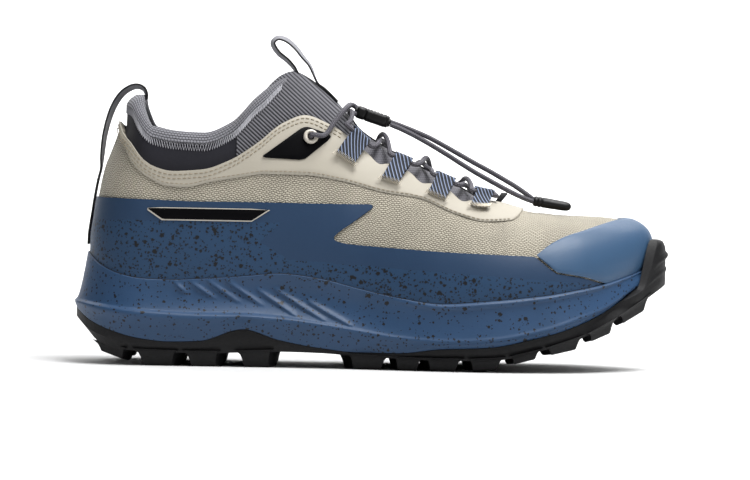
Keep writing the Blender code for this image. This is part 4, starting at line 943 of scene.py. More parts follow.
STRIPED = Finish("striped", "8593b0", "080e1a", 0.72, Pattern.RIBS,
                 (("Count", 600.0), ("Angle", 0.95), ("From", 0.66), ("To", 1.0)), 0.0002)
CORD = Finish("cord", "5b5961", "2f2e33", 0.72, Pattern.WEAVE,
              (("Along", 760.0), ("Up", 8.0), ("Drift", 0.0)), 0.0002)
PLASTIC = Finish("plastic", "09090a", "101012", 0.45, bump=0.00006, specular=0.3)
RING = Finish("ring", "c9c3b7", "bab4a7", 0.32, bump=0.00002, coat=0.3)
THREAD = Finish("thread", "958b78", "7d7463", 0.80, bump=0.00005)
TACK = Finish("tack", "d9d2c3", "c2baa9", 0.80, bump=0.00005)
PALE_THREAD = Finish("pale_thread", "a8a8ae", "84848b", 0.80, bump=0.00005)
FOOTBED = Finish("footbed", "33343a", "202126", 0.90, Pattern.WEAVE,
                 (("Along", 700.0), ("Up", 700.0)), 0.0002, sheen=0.3)


@dataclass
class Sole:
    """Midsole, outsole with its lugs, and the footbed."""

    ribs: tuple = (
        (0.177, 0.725, 0.193, 0.655), (0.204, 0.735, 0.239, 0.615), (0.231, 0.755, 0.279, 0.585),
        (0.262, 0.758, 0.317, 0.562), (0.313, 0.685, 0.373, 0.477), (0.343, 0.688, 0.422, 0.436),
        (0.398, 0.588, 0.466, 0.395),
    )
    rib_wide: float = 0.0006
    rib_proud: float = 0.0012
    lugs: tuple = (
        (0.078, 0.046, 0.110, 0.030), (0.158, 0.060, 0.000, 0.000), (0.232, 0.050, 0.000, 0.000),
        (0.320, 0.050, 0.000, 0.000), (0.492, 0.058, 0.000, 0.000), (0.560, 0.040, 0.000, 0.000),
        (0.618, 0.052, 0.000, 0.000), (0.688, 0.050, 0.005, 0.030), (0.754, 0.044, 0.065, 0.125),
        (0.818, 0.052, 0.150, 0.215), (0.882, 0.040, 0.270, 0.360), (0.938, 0.046, 0.420, 0.560),
    )
    lug_rings: tuple = (
        (1.42, 0.0), (1.22, 0.10), (1.08, 0.25), (0.99, 0.48), (0.88, 0.92), (0.80, 1.0),
        (0.45, 1.0), (0.40, 0.93),
    )
    lug_lead: float = 0.30
    lug_shares: tuple = ((0.66, 0.99), (0.10, 0.50))
    lug_root: float = 0.0012
    bumper_top: float = 0.067
    bumper_round: float = 0.0065
    bumper_back: float = 0.0036
    bumper_ridge: float = 0.0013
    bumper_pitch: float = 0.0080
    base_inset: tuple = (0.0040, 0.0060, 0.0)
    core_inset: tuple = (0.030, 0.030, 0.030)
    middle_y: float = 0.00112
    shelf_down: float = 0.0012
    step_up: float = 0.0006
    lip_round: float = 0.0004
    # depth, middle and width of each bell over the wall or along the shoe
    scoop: tuple = (0.0024, 0.36, 0.16)
    groove: tuple = (0.0007, 0.45, 0.16)
    roll: tuple = (0.0012, 0.93, 0.06)
    belly: tuple = (0.0014, 0.78, 0.22)
    # dark bead along the rim: partly a glue line, partly painted shade standing for the shadow line
    # where the upper bulges over the midsole
    shade_line_inset: float = 0.0013
    shade_line_radius: float = 0.00045
    # share of the footbed's depth, and inset from its edge
    footbed_rings: tuple = (
        (0.0, 0.0), (0.75, 0.0), (0.95, 0.0006), (1.0, 0.0014), (0.85, 0.006), (0.72, 0.030),
    )

    def rib_height(self, x: Array, z: Array) -> Array:
        """How far the slanting ribs stand out: a bell across each, tapered to its ends.

        Args:
            x, z: places on the wall.

        Returns:
            The height of the highest rib there.
        """
        proud = np.zeros(np.broadcast(x, z).shape)
        for along, up, to_along, to_up in self.ribs:
            start = np.array([along * FORM.length, up * FORM.sole_height])
            end = np.array([to_along * FORM.length, to_up * FORM.sole_height])
            line = end - start
            t = ((x - start[0]) * line[0] + (z - start[1]) * line[1]) / line.dot(line)
            held = np.clip(t, 0.0, 1.0)
            gap_x, gap_z = x - start[0] - held * line[0], z - start[1] - held * line[1]
            above = np.clip((gap_z * line[0] - gap_x * line[1]) / np.hypot(*line), 0.0, None)
            wide = self.rib_wide * (1.0 + 1.6 * (above > 0))
            taper = np.sin(math.pi * np.clip(0.12 + 0.8 * held, 0, 1)) ** 0.7
            height = self.rib_proud * taper * bell(np.hypot(gap_x, gap_z), 0.0, wide)
            proud = np.maximum(proud, height)
        return proud

    def midsole(self) -> None:
        """Foam cup: a profile of seam, shelf, crease, wall and rim, carried round the outline."""
        s = stations(0.0, 3.0, 3.0)
        x = FORM.station(s)[0]
        seam, rim, crease, bed = (FORM.sole(c, x) for c in ("seam", "rim", "crease", "bed"))
        lean = FORM.sole("lean", x)
        fade = np.clip((0.60 - x / FORM.length) / 0.25, 0.0, 1.0)
        shelf = np.maximum(crease - self.shelf_down, seam + 0.25 * (crease - seam))
        step = STEP_INSET[0] * fade + WALL_INSET[0] * 0.3 * (1 - fade) * lean
        zero = np.zeros_like(x)
        waist = crease + 0.55 * (rim - crease)
        heights = np.stack((seam, shelf, crease + self.step_up, waist, rim), axis=1)
        levels = np.array((SEAM_INSET, SHELF_INSET, STEP_INSET, WALL_INSET, RIM_INSET))
        leaning = (SEAM_INSET[0] + zero, zero, step, WALL_INSET[0] * lean, RIM_INSET[0] * lean)
        insets = [np.stack(leaning, axis=1)]
        insets += [levels[None, :, end] + zero[:, None] for end in (1, 2)]
        marks = np.array([0.0, 0.22, 0.34, 0.66, 1.0])
        t = np.concatenate((np.linspace(0, 0.34, 17), np.linspace(0.34, 1.0, 44)[1:]))

        def profile(values: Array) -> Array:
            """Rows of values read between the marks by a monotone cubic."""
            return np.stack([smooth(marks, row, t) for row in values])

        z = profile(heights)
        side_in, back_in, front_in = (profile(values) for values in insets)
        share = x / FORM.length
        wall = (z - crease[:, None]) / (rim - crease)[:, None]
        arch = np.clip(np.sin(math.pi * np.clip(wall, 0, 1)), 0, 1)
        scoop = self.scoop[0] * bell(share, *self.scoop[1:])[:, None] * arch
        low = np.clip((z - seam[:, None]) / np.maximum(crease - seam, 1e-4)[:, None], 0, 1)
        groove = self.groove[0] * ease(share, 0.48, 0.58)[:, None] * bell(low, *self.groove[1:])
        roll = self.roll[0] * ease(share, 0.50, 0.66)[:, None] * bell(wall, *self.roll[1:])
        rear = (1 - ease(share, 0.30, 0.45))[:, None]
        belly = self.belly[0] * rear * bell(low, *self.belly[1:]) * (wall < 0.02)
        side_in = side_in + scoop + groove - roll - belly - self.rib_height(x[:, None], z)
        flat, centre = np.array([1, 0, 1]), np.array([0, self.middle_y, 0])
        parts = MeshParts()
        for side in Side:
            outer = FORM.outline(s[:, None], side, z, (side_in, back_in + groove, front_in))
            lip = FORM.rim_inset(x, LIP)
            edge = [FORM.outline(s, side, rim + GAP, FORM.rim_inset(x, more))
                    for more in (self.lip_round, LIP - self.lip_round)]
            inner = FORM.outline(s, side, rim, lip)
            floor = FORM.outline(s, side, bed, lip)
            middle = floor * flat + centre
            under = FORM.outline(s, side, seam, SEAM_INSET) * flat + centre
            inside = np.stack((*edge, inner, floor, middle), axis=1)
            parts.strip(np.concatenate((under[:, None], outer, inside), axis=1))
        place(parts.build("midsole_foam", [FOAM.make()], 50), "blue_foam", "midsole")
        # Dark bead along the rim: partly a glue line, partly painted shade standing for the shadow
        # line under the upper's bulge.
        bead = MeshParts()
        for side in Side:
            path = FORM.outline(s, side, rim + GAP, FORM.rim_inset(x, self.shade_line_inset))
            bead.tube(path, self.shade_line_radius, 8)
        place(bead.build("rim_shade_line", [TAPE_BLACK.make()], 60), "blue_foam")

    def sheet(self, parts: MeshParts) -> None:
        """Rubber sheet: base, edge, toe bumper and top, carried round the outline."""
        s = stations(0.0, 3.0, 1.3)
        x, _, toe, _ = FORM.station(s)
        top = FORM.sole("seam", x) - GAP
        base = np.minimum(FORM.sole("base", x), top - 0.0015)
        swell = ease(toe, 0.62, 0.80)
        rise = ease(toe, 0.83, 0.97)
        wall = top + rise * (self.bumper_top - top)

        def mix(a: float, b: Array, share: Array) -> Array:
            """Blend from a to b."""
            return a + (b - a) * share

        edge, back = ([mix(SEAM_INSET[0], wide, swell), SEAM_INSET[1],
                       mix(SEAM_INSET[2], front, swell)]
                      for wide, front in ((-0.0010, 0.0030 * (1 - rise)), (-0.0003, 0.0069)))
        for side in Side:
            rings = [FORM.outline(s, side, base, inset)
                     for inset in (self.core_inset, self.base_inset)]
            for share in np.linspace(0.25, 1.0, 4):
                inset = tuple(mix(a, b, share) for a, b in zip(self.base_inset, edge))
                rings.append(FORM.outline(s, side, base + (0.55 * (top - base)) * share, inset))
            shoulder = 0.2 * base + 0.8 * top
            for share in np.linspace(0.0, 1.0, 30):
                z = shoulder + (wall - shoulder) * share
                over = np.clip((z - wall + self.bumper_round) / self.bumper_round, 0, 1) * rise
                wave = np.clip(np.sin(2 * math.pi * (z - top) / self.bumper_pitch), 0, 1)
                ridge = self.bumper_ridge * rise * ease(share, 0.1, 0.3) * wave * (1 - over)
                ahead = edge[2] + self.bumper_back * (1 - np.sqrt(1 - over * over)) - ridge
                rings.append(FORM.outline(s, side, z, (edge[0], edge[1], ahead)))
            rings += [FORM.outline(s, side, level, tuple(inset)) for level, inset in
                      ((wall, back), (top, back), (top, SEAM_INSET), (top, self.core_inset))]
            parts.strip(np.stack(rings, axis=1))
        for z, flip in ((base, 1), (top, -1)):
            ends = [FORM.outline(s, side, z, self.core_inset) for side in Side]
            parts.grid(np.stack(ends, axis=1)[::flip], 0)

    def tread_y(self, x: float, side: int, across: float) -> float:
        """Sideways place on the tread, a share of the way from its middle to its edge.

        Args:
            x: place along the shoe.
            side: side of the foot.
            across: the share.

        Returns:
            The place, in the part's own frame.
        """
        spread = 1.0
        if x > FORM.toe_centre:
            share = min((x - FORM.toe_centre) / (FORM.length - FORM.toe_centre), 1.0)
            spread = (1 - share**FORM.toe_square) ** (1 / FORM.toe_square)
        if x < FORM.heel_centre:
            share = min((FORM.heel_centre - x) / (FORM.heel_centre - self.base_inset[1]), 1.0)
            spread = (1 - share**FORM.heel_square) ** (1 / FORM.heel_square)
        middle = float(FORM.sole_middle(x))
        half = float(FORM.width(side, x)) - self.base_inset[0]
        return middle + (side * half - middle) * spread * across

    def lug(self, parts: MeshParts, row: tuple, side: int, inner: float, outer: float) -> None:
        """One lug: an arrow-shaped ring drawn in to the ground, with a chamfer and a sunk tip.

        Args:
            parts: the mesh that it joins.
            row: its place and length over the shoe's length, and its rear and front height.
            side: side of the foot.
            inner, outer: shares of the way from the tread's middle to its edge.
        """
        along, long, rear, front = row
        x, half = along * FORM.length, 0.5 * long * FORM.length
        forefoot, edge_row = x >= 0.4 * FORM.length, outer > 0.6
        lead = self.lug_lead * half * (-1 if forefoot == edge_row else 1)
        middle = 0.5 * (inner + outer)
        corners = [(-1.0, inner, lead), (-0.8, middle, 0.0), (-1.0, outer, -lead),
                   (0.8, outer, -lead),
                   (1.0, middle, 0.0), (0.8, inner, lead)]
        rings = []
        for draft, height in self.lug_rings:
            ring = []
            for where, across, shift in corners:
                px = (where * half + shift) * draft
                share = min(max((px + half) / (2 * half), 0.0), 1.0)
                ground = FORM.sole_height * (rear + (front - rear) * share)
                root = float(FORM.sole("base", x + px)) + self.lug_root
                ring.append((x + px, self.tread_y(x + px, side, middle + (across - middle) * draft),
                             root + (ground - root) * height))
            rings.append(ring)
        points = np.array(rings) + SHIFT
        parts.grid(points, 0, None, round_v=True)
        for end in (0, -1):
            parts.cap(points[end])

    def outsole(self) -> None:
        """Outsole: the sheet and its lugs as one piece."""
        parts = MeshParts()
        self.sheet(parts)
        for row in self.lugs:
            for side in Side:
                for inner, outer in self.lug_shares:
                    self.lug(parts, row, side, inner, outer)
        place(parts.build("outsole_rubber", [RUBBER.make()], 28), "black_rubber", "outsole")

    def footbed(self) -> None:
        """Footbed: a shallow dish with a raised edge."""
        s = stations(0.0, 3.0, 0.6)
        x = FORM.station(s)[0]
        bed = FORM.sole("bed", x) + GAP
        depth = np.minimum(0.004, np.maximum(0.0012, 0.6 * (FORM.sole("rim", x) - bed)))
        edge, core = LIP + 3 * GAP + WALL, self.core_inset[0]
        parts = MeshParts()
        for side in Side:
            rings = [FORM.outline(s, side, bed + share * depth, FORM.rim_inset(x, edge + into))
                     for share, into in ((0.0, core), *self.footbed_rings)]
            parts.strip(np.stack(rings, axis=1))
        for share, flip in ((0.0, 1), (self.footbed_rings[-1][0], -1)):
            ends = [FORM.outline(s, side, bed + share * depth, FORM.rim_inset(x, edge + core))
                    for side in Side]
            parts.strip(np.stack(ends, axis=1)[::flip])
        place(parts.build("footbed", [FOOTBED.make()], 60), "grey_foam", "insole")


@dataclass
class Upper:
    """The hollow upper and the films bonded to it."""

    guard_top: tuple = (
        (0.0278, 0.556), (0.034, 0.557), (0.198, 0.548), (0.330, 0.549), (0.503, 0.546),
    )
    guard_notch: tuple = (0.4368, 0.4360)
    guard_point: tuple = (
        (0.4360, 0.4368), (0.4420, 0.4388), (0.4500, 0.4425), (0.4620, 0.4500), (0.4980, 0.4755),
        (0.5350, 0.5000), (0.5430, 0.5030), (0.5470, 0.4985),
    )
    guard_front: tuple = (
        (0.4368, 0.4360), (0.4380, 0.4290), (0.4440, 0.4220), (0.4600, 0.4155), (0.515, 0.407),
        (0.623, 0.394), (0.772, 0.384), (0.806, 0.331), (0.853, 0.317), (0.887, 0.298),
    )
    cap_low: tuple = ((0.7745, 0.3875), (0.8085, 0.3345), (0.8545, 0.3205), (0.890, 0.3005))
    cap_high: tuple = (
        (0.7745, 0.3875), (0.796, 0.421), (0.823, 0.449), (0.853, 0.468), (0.880, 0.486),
        (0.929, 0.508), (0.955, 0.500),
    )
    film_low: tuple = (
        (0.073, 0.790), (0.076, 0.768), (0.085, 0.731), (0.099, 0.675), (0.128, 0.625),
        (0.159, 0.599), (0.188, 0.596), (0.230, 0.615), (0.274, 0.630), (0.323, 0.645),
        (0.387, 0.644), (0.449, 0.626), (0.518, 0.591), (0.578, 0.573), (0.643, 0.521),
        (0.690, 0.499), (0.735, 0.505), (0.752, 0.530), (0.757, 0.545),
    )
    scallops: tuple = (0.509, 0.582, 0.650)
    scallop_deep: float = 0.0030
    scallop_wide: float = 0.0042
    toe_end: float = 0.016
    thin_film: float = 0.0006
    rolled_edge: float = 0.35
    creases: tuple = (0.655, 0.70, 0.748)
    crease_deep: float = 0.0006
    patch_low: tuple = (
        (0.316, 0.700), (0.320, 0.696), (0.378, 0.690), (0.387, 0.694), (0.426, 0.758),
        (0.429, 0.767),
    )
    patch_high: tuple = (
        (0.316, 0.700), (0.320, 0.707), (0.380, 0.796), (0.390, 0.800), (0.426, 0.777),
        (0.429, 0.768),
    )
    bar_ends: tuple = (0.125, 0.327)
    bar_corners: tuple = (0.152, 0.300)
    bar_heights: tuple = (0.487, 0.5225, 0.5228)
    bar_edge: float = 0.0005
    bar_thick: float = 0.0003

    def topline(self, s: Array, drop: float = 0.0) -> Array:
        """Angle of the collar and throat edge: the last's topline, scalloped, with a round toe end.

        Args:
            s: stations.
            drop: distance downwards.

        Returns:
            The angles.
        """
        x = FORM.station(s)[0]
        z = FORM.last("topline", x) - drop
        for along in self.scallops:
            z = z - self.scallop_deep * bell(x, along * FORM.length, self.scallop_wide)
        angle = np.minimum(FORM.angle_at(s, z), QUARTER)
        t = np.clip((x - (FORM.throat_end - self.toe_end)) / self.toe_end, 0.0, 1.0)
        held = np.minimum(angle, FORM.angle_at(s, FORM.last("ridge", x) * 0.985))
        return np.where(x >= FORM.throat_end, QUARTER,
                        QUARTER - (QUARTER - held) * np.sqrt(1 - t * t))

    def band(self, start: float, stop: float, low: Callable, high: Callable, columns: int) -> tuple:
        """Grid of stations and angles between two edges of a band.

        Args:
            start, stop: its first and last station.
            low, high: functions that give its edges' angles at stations.
            columns: number of points across it.

        Returns:
            The grid's stations and its angles.
        """
        s = stations(start, stop)
        t = np.linspace(0.0, 1.0, columns)
        a, b = low(s), high(s)
        return s[:, None] + 0 * t[None], a[:, None] + (b - a)[:, None] * t[None]

    def guard(self) -> None:
        """Mudguard film: a strip along the rim, and a second one with a point over its rear."""
        end = float(FORM.locate([(0.886, 0.297)])[0][0])
        notch = FORM.s_of(self.guard_notch[0] * FORM.length)
        level = np.full(2, self.guard_notch[1])
        back = FORM.edge(np.stack(((0.0, self.guard_notch[0]), level), axis=1), True)
        front, top = FORM.edge(self.guard_front, True), FORM.edge(self.guard_top, True)
        s = np.unique(np.concatenate((stations(0.0, end), [notch])))
        share = np.linspace(0, 1, 16)
        edge = np.where(s <= notch, back(s), front(s))
        rim = FORM.rim_angle(s)
        low_angle = rim[:, None] + (np.maximum(edge, rim + 0.004) - rim)[:, None] * share
        rear = s[s <= notch]
        heights = np.linspace(self.guard_notch[1], 0.5470, 16)
        point = np.array(self.guard_point)
        tip = FORM.s_of(np.interp(heights, point[:, 0], point[:, 1]) * FORM.length)
        free = 1.2
        stretch = np.clip((rear - free) / (notch - free), 0, 1)[:, None]
        high_s = np.where(rear[:, None] > free, free + stretch * (tip - free), rear[:, None])
        lift = ((heights - heights[0]) / (heights[-1] - heights[0]))[None]
        start = back(np.minimum(high_s, notch))
        high_angle = start + (top(high_s) - start) * lift
        past = FORM.angle_at(high_s, heights[None] * FORM.upper_height)
        high_angle = np.where(high_s > notch, past, high_angle)
        depths = (-GAP - FILM, -GAP)
        low_picks = (np.s_[:, 0], np.s_[-1], np.s_[int(np.sum(s < notch)):, -1])
        high_picks = (np.s_[:, -1], np.s_[-1])
        parts = MeshParts()
        for side in Side:
            low_out, low_in = (FORM.skin(s[:, None], side, low_angle, depth) for depth in depths)
            high_out, high_in = (FORM.skin(high_s, side, high_angle, depth) for depth in depths)
            for strip, flip in ((low_out, 1), (high_out, 1), (low_in, -1), (high_in, -1)):
                parts.grid(strip[::flip])
            for out, inside, picks in ((low_out, low_in, low_picks),
                                       (high_out, high_in, high_picks)):
                for pick in picks:
                    parts.grid(np.stack((out[pick], inside[pick])))
        place(parts.build("mudguard_film", [GUARD.make()], 50), "blue_film", "mudguard")

    def film(self, name: str, finish: Finish, slot: str, nodes: tuple, start: float, stop: float,
             low: Callable,
             high: Callable, columns: int, lift: float = GAP, thick: float = FILM,
             sides: Sequence[Side] = tuple(Side), ends: tuple = (1, 1, 1, 1)) -> Object:
        """Thin film over the upper: two skins at lift and lift plus thick, its rim rolled down.

        Args:
            name: the piece's name.
            finish: its finish.
            slot: its material slot; not used.
            nodes: the CAD nodes that it stands for.
            start, stop: its first and last station.
            low, high: functions that give its edges' angles at stations.
            columns: number of points across it.
            lift: distance of its underside from the last.
            thick: its thickness.
            sides: sides of the foot on which it lies.
            ends: which of its start, stop, low and high edges close.

        Returns:
            The new object.
        """
        s, angle = self.band(start, stop, low, high, columns)
        roll = np.ones_like(s)
        if ends[2]:
            roll[:, 0] = self.rolled_edge
        if ends[3]:
            roll[:, -1] = self.rolled_edge
        parts = MeshParts()
        for side in sides:
            outer = FORM.skin(s, side, angle, -lift - thick * roll)
            inner = FORM.skin(s, side, angle, -lift)
            parts.shell(outer, inner, ends=ends)
        return place(parts.build(name, [finish.make()], 50), slot, *nodes)

    def shell(self) -> None:
        """The upper: outside and lining, closed over the vamp, open at collar and throat."""
        s = stations(0.0, 3.0, 1.2)
        low = FORM.angle_at(s, FORM.sole("bed", FORM.station(s)[0]) + GAP)
        high = self.topline(s, 0.0004)
        t = np.linspace(0, 1, 46)
        angle = low[:, None] + (high - low)[:, None] * t[None]
        wide = s[:, None] + 0 * t[None]
        x = FORM.station(s)[0][:, None] / FORM.length
        bowed = x + 0.03 * np.cos(2 * angle)
        crease = sum(self.crease_deep * bell(bowed, at, 0.012) for at in self.creases)
        crease = crease * ease(angle, 0.5, 1.0) * (1 - ease(x, 0.745, 0.80))
        parts = MeshParts()
        for side in Side:
            outer = FORM.skin(wide, side, angle, 0.5 * crease)
            inner = FORM.skin(wide, side, angle, WALL + 0.5 * crease)
            parts.shell(outer, inner, slots=(0, 1), ends=(0, 0, 1, 1))
        place(parts.build("upper_mesh", [MESH.make(), LINING.make()], 50), "cream_mesh", "upper")

    def films(self) -> None:
        """Toe cap and topline film."""
        start = float(FORM.locate([(0.7745, 0.3875)])[0][0])
        cap_edge, film_edge = FORM.edge(self.cap_low, True), FORM.edge(self.film_low)
        at_rim = float(FORM.locate([(0.887, 0.300)])[0][0])

        def cap_foot(s: Array) -> Array:
            """Lower edge of the toe cap: its slant, then the midsole's rim."""
            rim = FORM.rim_angle(s)
            return np.where(s > at_rim, rim, np.maximum(cap_edge(s), rim))

        def film_top(s: Array) -> Array:
            """Upper edge of the topline film, at least a little over its lower one."""
            return np.maximum(self.topline(s), film_edge(s) + 0.01)

        self.film("toe_cap_film", CAP, "toe_film", ("toe_cap",), start + 0.001, 3.0, cap_foot,
                  FORM.edge(self.cap_high), 22, 2 * GAP + FILM, self.thin_film, ends=(1, 0, 1, 1))
        front = FORM.s_of(0.7565 * FORM.length)
        self.film("topline_film", FILM_CREAM, "cream_film", ("eyestay",), 0.0, front, film_edge,
                  film_top, 20, ends=(0, 1, 1, 1))

    def patch(self) -> None:
        """Black four-sided patch round the lateral eyelet."""
        start, stop = (FORM.s_of(self.patch_low[end][0] * FORM.length) for end in (0, -1))
        self.film("eyelet_patch", PATCH, "black_film", ("eyelet_patch_lateral",), start, stop,
                  FORM.edge(self.patch_low, True), FORM.edge(self.patch_high, True),
                  12, 2 * GAP + FILM, self.thin_film, (Side.LATERAL,))

    def bar(self) -> None:
        """Plain slanted bar bonded to the mudguard, on a slightly larger pale one."""
        foot, corner, head = self.bar_heights
        for name, finish, grow, lift in (("bar_edge", RING, self.bar_edge, FILM + 2 * GAP),
                                         ("bar", PATCH, 0.0, FILM + 3 * GAP)):
            g, h = grow / FORM.length, grow / FORM.upper_height
            rear, front = self.bar_ends[0] - 2 * g, self.bar_ends[1] + 2 * g
            places = (rear, self.bar_corners[0] - g, self.bar_corners[1], front)
            low = FORM.edge(tuple(zip(places, (corner, foot - h, foot - h, corner))), True)
            top = FORM.edge(tuple(zip(places, (head, head + h, head + h, head))), True)
            start, stop = (FORM.s_of(v * FORM.length) for v in (rear, front))
            self.film(name, finish, "black_film", (), start, stop, low, top, 6, lift,
                      self.bar_thick)


@dataclass
class Collar:
    """Padded collar, its knitted rim, and the tongue."""

    padding: float = 0.008
    ease_in: float = 0.0006
    tuck: float = 0.030
    tongue_wall: float = 0.0035
    rim_tall: float = 0.0054
    rim_end: float = 0.352
    smooth_from: float = 0.470
    dip: float = 0.0022
    # shares of the rim's height and of the way to its crest, and push outwards in millimetres
    rim_rows: tuple = (
        (1.0, 0.0, 0.3), (0.97, 0.0, -0.8), (0.70, 0.25, -1.15), (0.35, 0.6, -1.1),
        (0.10, 0.9, -0.6), (-0.10, 1.0, 0.6), (-0.12, 1.0, 0.0), (-0.10, 1.0, 0.0),
        (0.10, 0.9, 0.6), (0.35, 0.6, 1.0), (0.70, 0.25, 1.0), (0.97, 0.0, 0.8), (1.0, 0.0, -0.3),
    )
    thread_pitch: float = 0.0013
    thread_swing: tuple = (0.0008, -0.0034)
    thread_radius: float = 0.00040

    def joined(self, x: Array) -> Array:
        """Share of the way from the collar to the tongue at x."""
        return ease(x, FORM.cuff_join - 0.006, FORM.cuff_join + 0.004)

    def tapered(self, s: Array, end: float) -> Array:
        """Share of the rim's height that is left near its front end."""
        return 0.25 + 0.75 * np.sqrt(np.clip((end - s) / 0.05, 0, 1))

    def tongue_depth(self, x: Array) -> Array:
        """Depth of the tongue's outside, which dips at the throat's end."""
        return WALL + GAP + self.dip * ease(x / FORM.throat_end, 0.90, 1.0)

    def wall(self, share: Array) -> tuple:
        """Depths of the collar's outer and inner side, fuller in the middle and at the top.

        Args:
            share: shares of the collar's height.

        Returns:
            The two depths.
        """
        crown = np.clip((share - 0.82) / 0.18, 0, 1) ** 2
        outer = WALL + GAP + self.ease_in + 0.30 * self.padding * crown
        belly = 0.30 + 0.70 * np.clip(np.sin(math.pi * share), 0, 1) ** 0.8 + 0.55 * crown
        return outer, WALL + GAP + self.ease_in + self.padding * belly

    def sheet(self, s: Array, side: int, z: Array, depth: Array) -> Array:
        """Points of the last drawn in by depth, at heights z."""
        return FORM.skin(s, side, np.minimum(FORM.angle_at(s, z, depth), QUARTER), depth)

    def collar(self) -> None:
        """Padded roll inside the topline: two skins that meet in a rounded top and foot."""
        s = stations(0.0, FORM.s_of(FORM.cuff_join), 1.3)[:, None]
        x = FORM.station(s)[0]
        low = FORM.last("topline", x) - self.tuck
        t = np.linspace(0, 1, 44)[None]
        z = low + (FORM.last("cuff", x) - low) * t
        outer, inner = self.wall(t)
        crown = np.sqrt(1 - np.clip((t - 0.90) / 0.10, 0, 1) ** 2)
        foot = np.sqrt(1 - np.clip((0.06 - t) / 0.06, 0, 1) ** 2)
        mean, half = 0.5 * (outer + inner), 0.5 * (inner - outer) * crown * foot
        parts = MeshParts()
        for side in Side:
            outside, inside = (self.sheet(s, side, z, depth + 0 * s)
                               for depth in (mean - half, mean + half))
            parts.shell(outside, inside, slots=(0, 1), ends=(0, 1, 1, 1))
        made = place(parts.build("collar_pad", [NEOPRENE.make(), LINING.make()], 60),
                     "collar_cloth", "collar")

    def rim(self) -> None:
        """Knitted rim: a bead that caps the collar and cuff, carried along their top edge."""
        end = FORM.s_of(self.rim_end * FORM.length)
        s = stations(0.0, end, 1.5)[:, None]
        x = FORM.station(s)[0]
        top = FORM.last("cuff", x)
        share = 1.0 - self.rim_tall / (top - FORM.last("topline", x) + self.tuck)
        blend, taper = self.joined(x), self.tapered(s, end)

        def both(at: Array) -> list:
            """Outer and inner depth at a share of the height, blended into the tongue's."""
            faces = zip(self.wall(at), (WALL + GAP, WALL + GAP + self.tongue_wall))
            return [here + (there - here) * blend for here, there in faces]

        (outer, inner), (crest_out, crest_in) = both(share), both(np.ones_like(x))
        depths, heights = [], []
        for i, (down, crest, push) in enumerate(self.rim_rows):
            near, far = (outer, crest_out) if i < 6 else (inner, crest_in)
            if i == 6:
                near, far = 0.5 * (outer + inner), 0.5 * (crest_out + crest_in)
            depths.append(near + (far - near) * crest + 0.001 * push * taper)
            heights.append(top - self.rim_tall * down * taper)
        depth, z = np.concatenate(depths, axis=1), np.concatenate(heights, axis=1)
        parts = MeshParts()
        for side in Side:
            ring = self.sheet(s + 0 * z, side, z, depth)
            uv = surface_uv(ring)
            parts.grid(ring, 0, uv, round_v=True)
            parts.cap(ring[-1], uv[-1])
        place(parts.build("collar_rim", [RIM.make()], 60), "grey_knit")
        self.zigzag(end)

    def zigzag(self, end: float) -> None:
        """Zigzag thread under the rim: points swing between two heights at an even pitch."""
        dense = stations(0.0, end - 0.01, 4.0)
        parts = MeshParts()
        for side in Side:
            for phase in (0, 1):
                x = FORM.station(dense)[0]
                z = FORM.last("cuff", x) - self.rim_tall
                line = self.sheet(dense, side, z, np.full_like(x, 0.0026))
                run = run_of(line)
                at = np.interp(np.arange(0.0, run[-1], self.thread_pitch), run, dense)
                x = FORM.station(at)[0]
                swing = np.where((np.arange(len(at)) + phase) % 2 == 0, *self.thread_swing)
                share = 1.0 - self.rim_tall / (FORM.last("cuff", x) - FORM.last("topline", x)
                                               + self.tuck)
                depth = self.wall(share)[0]
                depth = depth + (WALL + GAP - depth) * self.joined(x)
                z = FORM.last("cuff", x) - (self.rim_tall - swing) * self.tapered(at, end)
                parts.tube(self.sheet(at, side, z, depth - self.thread_radius), self.thread_radius,
                           5)
        place(parts.build("collar_zigzag", [PALE_THREAD.make()], 80), "grey_knit")

    def tongue(self) -> None:
        """Cuff and tongue: a wall that runs over the ridge, its opening round at the front."""
        places = (FORM.cuff_join, FORM.tongue_peak, FORM.throat_end)
        start, peak, stop = (FORM.s_of(x) for x in places)
        split = FORM.s_of(self.smooth_from * FORM.length)
        near = peak - 0.09 * (1 - np.cos(np.linspace(0, QUARTER, 14)))
        s = np.unique(np.concatenate((stations(start, stop, 1.6), near, [split])))
        x = FORM.station(s)[0]
        z = np.minimum(FORM.last("topline", x), FORM.last("ridge", x) * 0.99) - 0.018
        depth = self.tongue_depth(x)
        t = np.linspace(0, 1, 48)
        closing = np.clip((s - (peak - 0.09)) / 0.09, 0, 1)
        top = np.clip((t[None] - 0.94) / 0.06, 0, 1) * (s < peak)[:, None]
        half = 0.5 * self.tongue_wall * np.sqrt(np.clip(1 - top**2, 0.02, 1))
        parts = MeshParts()
        for first, last, slot in ((start, split, 0), (split, stop, 2)):
            rows = (s >= first) & (s <= last)
            ends = (int(first == start), int(last == stop), 1, 1)
            for side in Side:
                skins = []
                for sign in (-1, 1):
                    inside = (depth[:, None] + 0.5 * self.tongue_wall + sign * half)[rows]
                    column = s[rows][:, None]
                    low = FORM.angle_at(column, z[rows][:, None], inside)
                    cuff = FORM.angle_at(column, FORM.last("cuff", x[rows])[:, None], inside)
                    left = np.sqrt(1 - closing[rows][:, None] ** 2)
                    high = np.where(column >= peak, QUARTER, QUARTER - (QUARTER - cuff) * left)
                    skins.append(FORM.skin(column, side, low + (high - low) * t[None], inside))
                parts.shell(skins[0], skins[1], slots=(slot, 1), ends=ends, flat=True)
        made = parts.build("tongue_knit", [KNIT.make(), LINING.make(), TONGUE_CLOTH.make()], 60)
        place(made, "grey_knit", "tongue")

